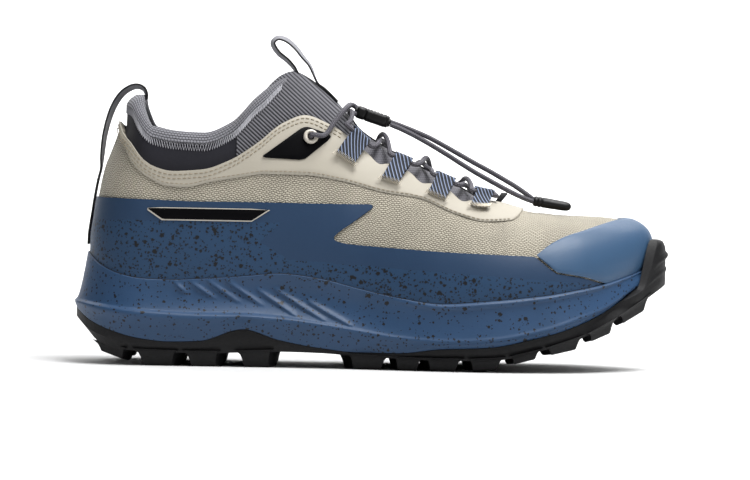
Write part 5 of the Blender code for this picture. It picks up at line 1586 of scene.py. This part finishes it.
    def piping(self) -> None:
        """Thin dark piping along the tongue's ridge, where its two halves are joined."""
        s = np.linspace(FORM.s_of(0.455 * FORM.length), FORM.s_of(0.712 * FORM.length), 60)
        x = FORM.station(s)[0]
        parts = MeshParts()
        parts.tube(FORM.skin(s, 1, np.full(60, QUARTER), self.tongue_depth(x) - 0.0001), 0.0006, 8)
        place(parts.build("tongue_piping", [TAPE_BLACK.make()], 60), "black_film")


@dataclass
class Tapes:
    """Pull loops at the heel and on the tongue."""

    thick: float = 0.0012
    turned: float = math.radians(15)
    heel_wide: float = 0.0095
    tongue_wide: float = 0.0085
    heel_arc: tuple = (
        (0.0415, 0, 0.700), (0.0450, 0, 0.765), (0.0520, 0, 0.825), (0.0610, 0, 0.872),
        (0.0730, 0, 0.908), (0.0870, 0, 0.929), (0.0990, 0, 0.935), (0.1090, 0, 0.928),
        (0.1140, 0, 0.912), (0.1150, 0, 0.890),
    )
    tongue_foot: tuple = (0.442, 0.430, 0.418, 0.406)
    tongue_arc: tuple = (
        (0.391, 0, 1.013), (0.378, 0, 1.045), (0.366, 0, 1.075), (0.351, 0, 1.100),
        (0.336, 0, 1.108), (0.327, 0, 1.090), (0.336, 0, 1.058), (0.352, 0, 1.032),
        (0.364, 0, 1.006), (0.372, 0, 0.975),
    )

    def arc(self, rows: tuple) -> Array:
        """Points from shares of the shoe's length and height, in the middle plane."""
        return np.array(rows) * np.array([FORM.length, 0, FORM.upper_height]) + SHIFT

    def ribbon(self, name: str, route: Array, wide: float, held: int, node: str) -> None:
        """Flat tape carried along a route in the middle plane, its free part turned about its run.

        Args:
            name: the piece's name.
            route: points that the tape follows.
            wide: the tape's width.
            held: number of points along which it lies flat on the shoe.
            node: the CAD node that it stands for.
        """
        free = np.linspace(0.15, 0.85, len(route) - held)
        turning = np.concatenate((np.zeros(held), np.sin(free * math.pi)))
        both = spline(np.column_stack((route, 0.003 * turning)), 140)
        path, turn = both[:, :3], self.turned * both[:, 3:4] / 0.003
        ahead = np.gradient(path, axis=0)
        ahead /= np.linalg.norm(ahead, axis=1, keepdims=True)
        out = np.stack((ahead[:, 2], 0 * ahead[:, 0], -ahead[:, 0]), axis=1)
        level = np.array([0.0, 1.0, 0.0])
        across = np.cos(turn) * level + np.sin(turn) * out
        face = np.cos(turn) * out - np.sin(turn) * level
        share = np.array([-0.5, -0.47, -0.43, -0.2, 0.0, 0.2, 0.43, 0.47, 0.5])
        edge = np.sqrt(np.clip(1 - (2 * np.abs(share)) ** 8, 0.05, 1))
        base = path[:, None] + share[None, :, None] * wide * across[:, None]
        lift = 0.5 * self.thick * edge[None, :, None] * face[:, None]
        parts = MeshParts()
        for slot, part in ((0, slice(0, 3)), (1, slice(2, 7)), (0, slice(6, 9))):
            ends = (1, 1, int(part.start == 0), int(part.stop == 9))
            parts.shell((base + lift)[:, part], (base - lift)[:, part], (slot, slot), ends)
        place(parts.build(name, [TAPE_BLACK.make(), TAPE_FACE.make()], 50), "black_film", node)

    def heel(self) -> None:
        """Heel loop, up the back and over into the collar."""
        z = np.linspace(FORM.sole_height * 1.06, 0.655 * FORM.upper_height, 8)
        x = FORM.heel_inset(z) - (2 * GAP + FILM + 0.5 * self.thick)
        route = np.vstack((np.stack((x, 0 * z, z), axis=1) + SHIFT, self.arc(self.heel_arc)))
        self.ribbon("heel_loop", route, self.heel_wide, len(z), "heel_pull_loop")

    def tongue(self) -> None:
        """Tongue loop, up the tongue's front and over behind its top edge."""
        s = FORM.s_of(np.array(self.tongue_foot) * FORM.length)
        out = FORM.normal(s, np.ones(len(s)), np.full(len(s), QUARTER - 0.02))
        spots = FORM.skin(s, 1, np.full(len(s), QUARTER)) + out * (0.5 * self.thick - WALL)
        spots[:, 1] = SHIFT[1]
        route = np.vstack((spots, self.arc(self.tongue_arc)))
        self.ribbon("tongue_loop", route, self.tongue_wide, len(s), "tongue_pull_loop")


@dataclass
class Lacing:
    """Elastic cord, its loops, eyelets, lock, tails, grip and keeper."""

    diameter: float = 0.0025
    tape: float = 0.0007
    clear: float = 0.0008
    loop_wide: float = 0.0085
    loop_over: float = 0.0014
    loops: tuple = ((0.472, 0.138), (0.546, 0.124), (0.618, 0.106), (0.683, 0.088))
    loop_lean: tuple = (0.0062, 0.0052, 0.0034, 0.0016)
    # share of the loop's length and height over the tape's thickness
    loop_front: tuple = ((0.0, 0.5), (0.5, 0.5), (0.8, 0.5))
    loop_back: tuple = ((0.75, 4.6), (0.5, 3.0), (0.25, 2.0), (0.0, 1.5))
    eye_shares: tuple = (-0.30, 0.05, 0.95, 1.30)
    strand_shares: tuple = (0.15, 0.32, 0.50, 0.68, 0.85)
    lock_size: tuple = (0.018, 0.013, 0.0066)
    eyelet: tuple = (0.394, 0.768)
    tail_upper: tuple = (
        (0.5289, 0.0223, 0.8293), (0.5498, 0.0232, 0.8147), (0.5757, 0.0241, 0.7947),
        (0.5973, 0.0250, 0.7760), (0.6246, 0.0250, 0.7473), (0.6508, 0.0250, 0.7187),
        (0.6721, 0.0241, 0.6953), (0.6977, 0.0232, 0.6687), (0.7193, 0.0214, 0.6447),
        (0.7409, 0.0187, 0.6200), (0.7608, 0.0143, 0.5933), (0.7751, 0.0125, 0.5720),
    )
    tail_lower: tuple = (
        (0.5282, -0.0223, 0.8207), (0.5482, -0.0250, 0.8047), (0.5731, -0.0268, 0.7807),
        (0.5977, -0.0268, 0.7540), (0.6246, -0.0268, 0.7227), (0.6478, -0.0268, 0.6940),
        (0.6724, -0.0268, 0.6647), (0.6977, -0.0268, 0.6373), (0.7209, -0.0250, 0.6127),
        (0.7409, -0.0214, 0.5927), (0.7591, -0.0161, 0.5773), (0.7751, -0.0125, 0.5667),
    )
    grip: tuple = ((0.7718, 0.0, 0.5705), (0.8372, 0.0, 0.5507))
    grip_radius: float = 0.0027
    # place along the grip and share of its radius
    grip_turned: tuple = (
        (0, 0.3), (0.02, 0.8), (0.05, 0.95), (0.10, 1.0), (0.13, 0.88), (0.16, 1.0), (0.20, 1.0),
        (0.23, 0.88), (0.26, 0.98), (0.30, 0.98), (0.50, 0.95), (0.70, 0.92), (0.82, 0.90),
        (0.90, 0.82), (0.95, 0.68), (0.98, 0.50), (1.0, 0.1),
    )
    # radius and height of the eyelet ring's section, in millimetres
    eyelet_turned: tuple = (
        (1.8, -0.4), (3.7, -0.4), (3.8, 0.35), (3.55, 0.95), (3.0, 1.35), (2.5, 1.38), (2.05, 1.1),
        (1.8, 0.5),
    )
    lock_tilt: float = math.radians(18)
    lock_place: tuple = (0.498, 0.024, 0.846)
    lock_holes: tuple = (0.0080, 0.0049, 0.0014)
    lock_turn: float = 0.0126
    # place ahead of the lock's middle and radius of the collars at its ends
    lock_collars: tuple = ((0.0080, 0.0023), (0.0092, 0.0022), (0.0097, 0.0016))
    riser_hole: float = 0.0021
    lift: float = 0.0026
    under: float = -0.0006
    over_lace: float = 0.0027
    tack_count: int = 32
    tack_swing: tuple = (-0.0024, 0.0007)
    tack_radius: float = 0.00042
    keeper_place: float = 0.7065
    keeper_tall: float = 0.0066
    keeper_wide: float = 0.0027

    def in_shoe(self, rows: Sequence) -> Array:
        """Points from shares of the shoe's length, width and height."""
        return np.array(rows) * np.array([FORM.length, FORM.ball, FORM.upper_height]) + SHIFT

    def skin_at(self, x: float, side: int, level: float) -> tuple:
        """Point of the last and its normal at a level, in the middle of the foot.

        Args:
            x: place along the shoe.
            side: side of the foot.
            level: 0 at the rim, 1 at the ridge.

        Returns:
            The point and the normal.
        """
        s = np.array(FORM.s_of(x))
        power = 0.5 * float(FORM.last("square", x))
        angle = np.array(math.asin(min(max(level, 0.0), 1.0) ** power))
        held = np.array(math.asin(min(max(level, 0.0), 0.97) ** power))
        return FORM.skin(s, side, angle), FORM.normal(s[None], np.array([side]), held[None])[0]

    def level_of(self, x: float, z: float) -> float:
        """Level at which the last reaches height z at x."""
        rim = float(FORM.sole("rim", x))
        return (z - rim) / (float(FORM.last("ridge", x)) - rim)

    def loop_place(self, number: int, side: int) -> Callable[[float, float, float], Array]:
        """Function giving a loop's point from its run up the skin, its height and its width."""
        long = self.loops[number][1] * FORM.ball

        def spot(along: float, high: float, wide: float, lean: float = 0.0) -> Array:
            """Point of the loop, its lower end set back by a lean."""
            x = self.loops[number][0] * FORM.length + wide - lean * (1 - min(along / long, 1.0))
            edge = self.level_of(x, float(FORM.last("topline", x)))
            levels = np.linspace(edge - 0.25, 1.0, 40)
            power = 0.5 * float(FORM.last("square", x))
            arc = FORM.skin(np.full(40, FORM.s_of(x)), side,
                            np.arcsin(np.clip(levels, 0, 1) ** power))
            run = run_of(arc)
            start = float(np.interp(edge, levels, run)) + self.loop_over - long
            point, out = self.skin_at(x, side, float(np.interp(start + along, run, levels)))
            return point + out * (high + FILM + 3.0 * GAP)

        return spot

    def eye(self, number: int, side: int, share: float) -> Array:
        """Point on the line through a loop's bend, 0 at its rear and 1 at its front."""
        outer = 0.5 * self.diameter + self.clear + self.tape
        spot = self.loop_place(number, side)
        long = self.loops[number][1] * FORM.ball
        rear, front = spot(long, outer,
                           -0.5 * self.loop_wide), spot(long, outer, 0.5 * self.loop_wide)
        return rear + (front - rear) * share

    def loop(self, number: int, side: Side) -> None:
        """Tape folded over the lace: a flat hairpin with a round bend, swept across its width."""
        spot = self.loop_place(number, side)
        hole = 0.5 * self.diameter + self.clear
        outer = hole + self.tape
        centre = self.loops[number][1] * FORM.ball
        turn = np.linspace(-QUARTER, QUARTER, 13)
        middle = [(share * centre, high * self.tape) for share, high in self.loop_front]
        bend = hole + 0.5 * self.tape
        middle += [(centre + bend * math.cos(a), outer + bend * math.sin(a)) for a in turn]
        middle += [(share * centre, high * self.tape) for share, high in self.loop_back]
        line = spline(middle, 40)
        ahead = np.gradient(line, axis=0)
        ahead /= np.linalg.norm(ahead, axis=1, keepdims=True)
        out = np.stack((ahead[:, 1], -ahead[:, 0]), axis=1)
        grids = []
        lean = self.loop_lean[number]
        for lift in (0.5 * self.tape, -0.5 * self.tape):
            rows = line + out * lift
            widths = np.linspace(-0.5, 0.5, 5) * self.loop_wide
            grids.append(np.array([[spot(a, max(h, 0.00005), w, lean) for w in widths] for a,
                                   h in rows]))
        word = f"{side.name.lower()}_{number + 1}"
        parts = MeshParts()
        parts.shell(grids[0], grids[1])
        place(parts.build(f"lace_tape_{word}", [STRIPED.make()], 50), "striped_webbing",
              f"lace_loop_{word}")
        rise = np.where(np.arange(self.tack_count) % 2 == 0, *self.tack_swing)
        widths = np.linspace(-0.62, 0.62, self.tack_count) * self.loop_wide
        path = np.array([spot(k, 2.6 * self.tape, w, lean) for k, w in zip(rise, widths)])
        tack = MeshParts()
        tack.tube(path, self.tack_radius, 6)
        place(tack.build(f"bar_tack_{word}", [TACK.make()], 80), "cream_film")

    def over(self, x: float, y: float, lift: float) -> Array:
        """Point at a height above the last.

        Args:
            x, y: place in the part's own frame.
            lift: the height, square to the skin.

        Returns:
            The point.
        """
        middle = float(FORM.last("centre", x))
        side = Side.MEDIAL if y > middle else Side.LATERAL
        square = float(FORM.last("square", x))
        half = float(FORM.last_width(side, x))
        closing = min(abs(y - middle) / abs(side * half - middle), 1.0)
        point, out = self.skin_at(x, side, (1.0 - closing**square) ** (1.0 / square))
        return point + out * lift

    def strand(self, start: Array, end: Array, lifts: Sequence, bow: float = 1.0) -> list:
        """Points of a lace that lies over the last between two points.

        Args:
            start, end: the two points.
            lifts: heights over the last at the strand's shares.
            bow: power that bends the lace's run sideways.

        Returns:
            The points.
        """
        a, b = start - SHIFT, end - SHIFT
        run = b - a
        return [self.over(a[0] + run[0] * t, a[1] + run[1] * t**bow, 0.5 * self.diameter + lift)
                for t, lift in zip(self.strand_shares, lifts)]

    def lock_frame(self) -> tuple:
        """Centre, forward, sideways and upward directions of the lock."""
        cosine, sine = math.cos(self.lock_tilt), math.sin(self.lock_tilt)
        directions = np.array([[cosine, 0.0, -sine], [0.0, 1.0, 0.0], [sine, 0.0, cosine]])
        return (self.in_shoe(self.lock_place), *directions)

    def crossings(self) -> None:
        """The lace from the lock down through the loops and back, its corners cut to curves."""
        centre, ahead, across, up = self.lock_frame()
        edge = [self.lift] * 5
        low, high = ([self.lift, rise, rise, rise, self.lift]
                     for rise in (self.under, self.over_lace))
        back, out, down = self.lock_holes
        ends, turns = ([centre - ahead * v + across * (out * side) - up * down for side in Side]
                       for v in (back, self.lock_turn))
        eyes = [self.eye(0, side, -0.50) for side in Side]
        route = [ends[0], turns[0]] + self.strand(turns[0], eyes[0], edge)[1:4:2] + [eyes[0]]
        for number, side in enumerate(tuple(Side) * 2):
            route += [self.eye(number, side, share) for share in self.eye_shares]
            if number < 3:
                route += self.strand(route[-1], self.eye(number + 1, -side, self.eye_shares[0]),
                                     low)
        y = route[-1][1] - SHIFT[1]
        for part, ahead_of in zip((0.5, 0.0, -0.5), (0.0050, 0.0034, 0.0050)):
            x = self.loops[3][0] * FORM.length + ahead_of
            route.append(self.over(x, part * y, 0.5 * self.diameter + self.lift))
        for number, side in zip((3, 2, 1, 0), tuple(Side) * 2):
            route += [self.eye(number, side, share) for share in reversed(self.eye_shares)]
            if number:
                route += self.strand(route[-1], self.eye(number - 1, -side, self.eye_shares[3]),
                                     high)
        route += [eyes[1]] + self.strand(eyes[1], turns[1], edge)[1:4:2] + [turns[1], ends[1]]
        parts = MeshParts()
        parts.tube(rounded(route), 0.5 * self.diameter, 12)
        place(parts.build("lace_crossing_cord", [CORD.make()], 60), "grey_lace", "lace_crossings")

    def eyelet_foot(self, side: int) -> tuple:
        """Foot of an eyelet's axis and its direction."""
        x = self.eyelet[0] * FORM.length
        point, out = self.skin_at(x, side, self.level_of(x, self.eyelet[1] * FORM.upper_height))
        return point + out * ((2 if side < 0 else 1) * (GAP + FILM) + 2 * GAP), out

    def eyelets(self) -> None:
        """Turned rings with a rolled lip, and the strands that rise from them to the lock."""
        for side in Side:
            word = side.name.lower()
            foot, out = self.eyelet_foot(side)
            across = np.cross(out, [1.0, 0.0, 0.0])
            across /= np.linalg.norm(across)
            up = np.cross(out, across)
            profile = np.array(self.eyelet_turned)[None] * 0.001
            turn = np.linspace(0, 2 * math.pi, 41)[:, None, None]
            around = np.cos(turn) * across + np.sin(turn) * up
            ring = foot + profile[..., :1] * around + profile[..., 1:] * out
            parts = MeshParts()
            parts.grid(ring, round_v=True)
            place(parts.build(f"eyelet_ring_{word}", [RING.make()], 60), "cream_ring",
                  f"eyelet_{word}")
            centre, ahead, sideways, rise = self.lock_frame()
            back, _, down = self.lock_holes
            last = centre - ahead * back + sideways * (self.riser_hole * side) + rise * down
            turn_at = last - ahead * (self.lock_turn - back) + rise * down
            spots = self.strand(foot, turn_at, (self.lift, self.lift, 0.0030, 0.0060, 0.0060), 1.8)
            start = [foot + out * v for v in (-0.0008, 0.00196, 0.00434)]
            cord = MeshParts()
            cord.tube(rounded(start + spots[1:4] + [turn_at, last]), 0.5 * self.diameter, 12)
            place(cord.build(f"riser_cord_{word}", [CORD.make()], 60), "grey_lace",
                  f"lace_riser_{word}")

    def lock(self) -> None:
        """Toggle: a rounded block with grip grooves on top and a collar at each cord's hole."""
        centre, ahead, across, up = self.lock_frame()
        long, wide, tall = self.lock_size
        t = np.linspace(-1, 1, 73)[:, None]
        turn = np.linspace(0, 2 * math.pi, 41)[None]
        c, s = np.cos(turn), np.sin(turn)
        square = 4.0
        y = np.sign(c) * np.abs(c) ** (2 / square)
        z = np.sign(s) * np.abs(s) ** (2 / square)
        end = np.clip(1 - np.abs(t) ** 14, 0.0, 1.0) ** (1 / 4)
        waist = 1.0 - 0.10 * bell(t, -0.42, 0.05) - 0.05 * bell(t, 0.80, 0.04)
        waves = np.clip(np.cos(2 * math.pi * 5 * (t - 0.15)), 0, 1) * (np.abs(t - 0.15) < 0.5)
        groove = 1.0 - 0.10 * (s > 0.3) * waves
        run = t * 0.5 * long * (1 - 0.05 * (1 - end))
        breadth, height = y * 0.5 * wide * end * waist, z * 0.5 * tall * end * waist * groove
        grid = centre + run[..., None] * ahead + breadth[...,
                                                         None] * across + height[..., None] * up
        parts = MeshParts()
        parts.grid(grid)
        places, radii = np.array(self.lock_collars).T
        for side in Side:
            for sign, out, down in ((-1, 0.0030, 0.0), (1, 0.0029, 0.0002)):
                start = centre + across * (out * side) - up * down
                parts.tube(start + sign * places[:, None] * ahead, radii, 16)
        place(parts.build("lock_body", [PLASTIC.make()], 35), "black_plastic", "lace_lock")

    def tails(self) -> None:
        """The two free tails and their rubber grip."""
        grip = self.cord_grip()
        for name, rows in (("upper", self.tail_upper), ("lower", self.tail_lower)):
            path = spline(self.in_shoe(rows), 60)
            parts = MeshParts()
            parts.tube(path, 0.5 * self.diameter, 12)
            made = place(parts.build(f"tail_cord_{name}", [CORD.make()], 60), "grey_lace",
                         f"lace_tail_{name}")

    def cord_grip(self) -> Object:
        """Rubber grip: a turned oval plug with rings at its rear."""
        start, end = self.in_shoe(self.grip)
        ahead = end - start
        long = np.linalg.norm(ahead)
        ahead = ahead / long
        across = np.array([0.0, 1.0, 0.0])
        up = np.cross(ahead, across)
        t, r = np.array(self.grip_turned).T * np.array([[1.0], [self.grip_radius]])
        turn = np.linspace(0, 2 * math.pi, 29)[None]
        around = 1.25 * np.cos(turn)[..., None] * across + np.sin(turn)[..., None] * up
        grid = start + (t * long)[:, None, None] * ahead + r[:, None, None] * around
        parts = MeshParts()
        parts.grid(grid)
        for row in (0, -1):
            parts.cap(grid[row])
        return place(parts.build("grip_plug", [PLASTIC.make()], 50), "black_plastic", "cord_end")

    def keeper(self) -> None:
        """Small strap standing on the tongue's end: a leaning arch of tape."""
        x = self.keeper_place * FORM.length
        turn = np.linspace(0, math.pi, 25)
        h = self.keeper_tall * np.clip(np.sin(turn), 0.0, 1.0) ** 0.7
        depth = float(Collar().tongue_depth(x))
        foot = float(FORM.skin(np.array(FORM.s_of(x)), 1, np.array(QUARTER), depth)[2]) + 0.0007
        grids = []
        for thick in (0.0009, 0.0):
            rows = []
            for wide in np.linspace(-0.5, 0.5, 5):
                y = 0.0035 + (self.keeper_wide + thick) * np.cos(turn)
                row = np.stack((x + wide * 0.0030 + 0.80 * h, y, foot + h + thick * np.sin(turn)),
                               axis=1)
                rows.append(row + SHIFT * np.array([1, 1, 0]))
            grids.append(np.stack(rows, axis=1))
        parts = MeshParts()
        parts.shell(grids[0], grids[1])
        place(parts.build("keeper_strap", [TAPE_BLACK.make()], 50), "black_film", "lace_keeper")

    def build(self) -> None:
        """Make the tails first, then the rest of the lacing."""
        self.tails()
        for number in range(4):
            for side in Side:
                self.loop(number, side)
        self.crossings()
        self.eyelets()
        self.lock()
        self.keeper()


@dataclass
class Stitching:
    """Rows of thread on the films and the collar."""

    drops: tuple = (0.0020, 0.0040)
    # pitch, length and radius of a stitch
    topline_stitch: tuple = (0.0026, 0.0019, 0.00030)
    seam_stitch: tuple = (0.0024, 0.0018, 0.00020)

    def row(self, parts: MeshParts, path: Array, out: Array, pitch: float, long: float,
            radius: float) -> None:
        """Stitches along a path: one small closed spindle, moved and turned to each place.

        Args:
            parts: the mesh that they join.
            path: points of the row.
            out: the skin's normals there.
            pitch: distance from one stitch to the next.
            long: length of a stitch.
            radius: its radius.
        """

        def read(values: Array, places: Array) -> Array:
            """Rows of values at distances along the path."""
            return np.stack([np.interp(places, run, values[:, k]) for k in range(3)], axis=1)

        run = run_of(path)
        at = np.arange(0.5 * pitch, run[-1] - 0.5 * pitch, pitch)
        spots = read(path, at)
        ahead = read(path, at + 0.3 * pitch) - read(path, at - 0.3 * pitch)
        ahead /= np.linalg.norm(ahead, axis=1, keepdims=True)
        normal = read(out, at)
        normal -= ahead * np.sum(ahead * normal, axis=1, keepdims=True)
        normal /= np.linalg.norm(normal, axis=1, keepdims=True)
        side = np.cross(ahead, normal)
        t = np.array([-1.0, -0.8, 0.0, 0.8, 1.0])
        r = np.array([0.0, 0.75, 1.0, 0.75, 0.0]) * radius
        turn = np.linspace(0, 2 * math.pi, 7)[:-1]
        cosine, sine = np.cos(turn)[:, None], np.sin(turn)[:, None]
        around = cosine * normal[:, None, None] + sine * side[:, None, None]
        shape = spots[:, None, None] + (0.5 * long * t)[:, None, None] * ahead[:, None, None]
        shape = shape + r[:, None, None] * around
        count, rows, cols = shape.shape[:3]
        index = np.arange(rows * cols).reshape(rows, cols)
        index = np.concatenate((index, index[:, :1]), axis=1)
        quads = np.stack((index[:-1, :-1], index[1:, :-1], index[1:, 1:], index[:-1, 1:]), axis=-1)
        quads = quads.reshape(-1, 4)
        faces = (quads[None] + (np.arange(count) * rows * cols)[:, None, None]).reshape(-1, 4)
        parts.add(shape.reshape(-1, 3), faces)

    def topline(self) -> None:
        """Two rows that follow the topline on the film."""
        parts = MeshParts()
        for drop in self.drops:
            for side in Side:
                s = stations(0.0, FORM.s_of(0.452 * FORM.length), 1.5)
                x = FORM.station(s)[0]
                angle = FORM.angle_at(s, FORM.last("topline", x) - drop)
                path = FORM.skin(s, side, angle, -(GAP + FILM + 0.00010))
                out = FORM.normal(s, np.full(len(s), side), angle)
                self.row(parts, path, out, *self.topline_stitch)
        place(parts.build("topline_stitches", [THREAD.make()], 60), "cream_film")

    def seam(self, upper: Upper) -> None:
        """One row just inside the film's lower edge."""
        parts = MeshParts()
        low = FORM.edge(upper.film_low)
        for side in Side:
            s = stations(0.02, FORM.s_of(0.735 * FORM.length), 1.5)
            angle = low(s) + 0.012
            path = FORM.skin(s, side, angle, -(GAP + FILM + 0.00006))
            out = FORM.normal(s, np.full(len(s), side), angle)
            self.row(parts, path, out, *self.seam_stitch)
        place(parts.build("film_stitches", [THREAD.make()], 60), "cream_film")


@dataclass
class Studio:
    """Pale floor, soft lights and the camera."""

    distance: float = 2.2
    frame_wide: float = 0.3825
    roll: float = math.atan(5 / 270)
    elevation: float = math.radians(1.2)
    target: tuple = (0.0018, 0.0, 0.0641)
    sensor: float = 36.0
    sky: float = 0.13
    # name, place, aim, size and power of each light
    lights: tuple = (
        ("top", (0.38, -0.30, 1.35), (0, 0, 0.05), (0.9, 0.7), 32),
        ("front", (0.9, -1.2, 1.3), (0, 0, 0.07), (0.8, 0.5), 4.5),
        ("wall", (0.0, 2.0, 2.4), (0, 4.0, 0.9), (4.0, 1.0), 150),
        ("ground", (0.0, 1.7, 2.2), (0, 2.4, 0.0), (4.0, 1.0), 110),
    )

    def camera(self) -> None:
        """Camera level with the shoe, square to its outer side, rolled as the photograph is."""
        data = bpy.data.cameras.new("camera")
        data.sensor_width = self.sensor
        data.lens = self.sensor * self.distance / self.frame_wide
        thing = bpy.data.objects.new("camera", data)
        look = Vector((0.0, math.cos(self.elevation), -math.sin(self.elevation)))
        right = Vector((math.cos(self.roll), 0.0, math.sin(self.roll)))
        right = (right - look * right.dot(look)).normalized()
        up = right.cross(look)
        basis = Matrix((right, up, -look)).transposed().to_4x4()
        thing.matrix_world = Matrix.Translation(Vector(self.target) - look * self.distance) @ basis
        bpy.context.scene.collection.objects.link(thing)
        bpy.context.scene.camera = thing

    def light(self, name: str, spot: tuple, aim: tuple, size: tuple, power: float) -> None:
        """Area light at a spot, turned to its aim.

        Args:
            name: the light's name.
            spot, aim: where it stands and where it points.
            size: its two sides.
            power: its power in watts.
        """
        data = bpy.data.lights.new(name, "AREA")
        data.shape = "RECTANGLE"
        data.size, data.size_y = size
        data.energy = power
        thing = bpy.data.objects.new(name, data)
        thing.location = spot
        thing.rotation_euler = (Vector(aim) - Vector(spot)).to_track_quat("-Z", "Y").to_euler()
        bpy.context.scene.collection.objects.link(thing)

    def floor(self) -> None:
        """Floor that sweeps up behind the shoe: a sheet with a quarter-round bend."""
        turn = np.linspace(0, QUARTER, 9)[1:]
        y = np.concatenate((np.linspace(-3.0, 3.0, 7), 3.0 + np.sin(turn), [4.0]))
        z = np.concatenate((np.zeros(7), 1.0 - np.cos(turn), [4.0]))
        x = np.linspace(-5, 5, 11)
        grid = np.stack(np.broadcast_arrays(x[:, None], y[None], z[None]), axis=-1)
        parts = MeshParts()
        parts.grid(grid, 0, grid[..., :2])
        finish = Finish("floor", "d6d6d6", "d2d2d2", 0.9, bump=0.00001).make()
        thing = parts.build("floor", [finish], 60, closed=False)
        thing.data.flip_normals()

    def build(self) -> None:
        """Make the studio."""
        self.camera()
        self.floor()
        for light in self.lights:
            self.light(*light)
        world = bpy.data.worlds.new("studio")
        world.use_nodes = True
        sky = world.node_tree.nodes["Background"].inputs
        sky[0].default_value = (1.0, 1.0, 1.0, 1.0)
        sky[1].default_value = self.sky
        scene = bpy.context.scene
        scene.world = world
        scene.view_settings.view_transform = "Standard"


def main() -> None:
    """Build the studio and each sub-assembly, in order."""
    logging.basicConfig(level=logging.INFO)
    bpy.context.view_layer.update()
    Studio().build()
    Lacing().build()
    sole = Sole()
    sole.midsole()
    sole.outsole()
    sole.footbed()
    upper = Upper()
    upper.shell()
    upper.guard()
    upper.films()
    upper.patch()
    upper.bar()
    collar = Collar()
    collar.collar()
    collar.rim()
    collar.tongue()
    collar.piping()
    tapes = Tapes()
    tapes.heel()
    tapes.tongue()
    stitching = Stitching()
    stitching.topline()
    stitching.seam(upper)


if __name__ == "__main__":
    main()
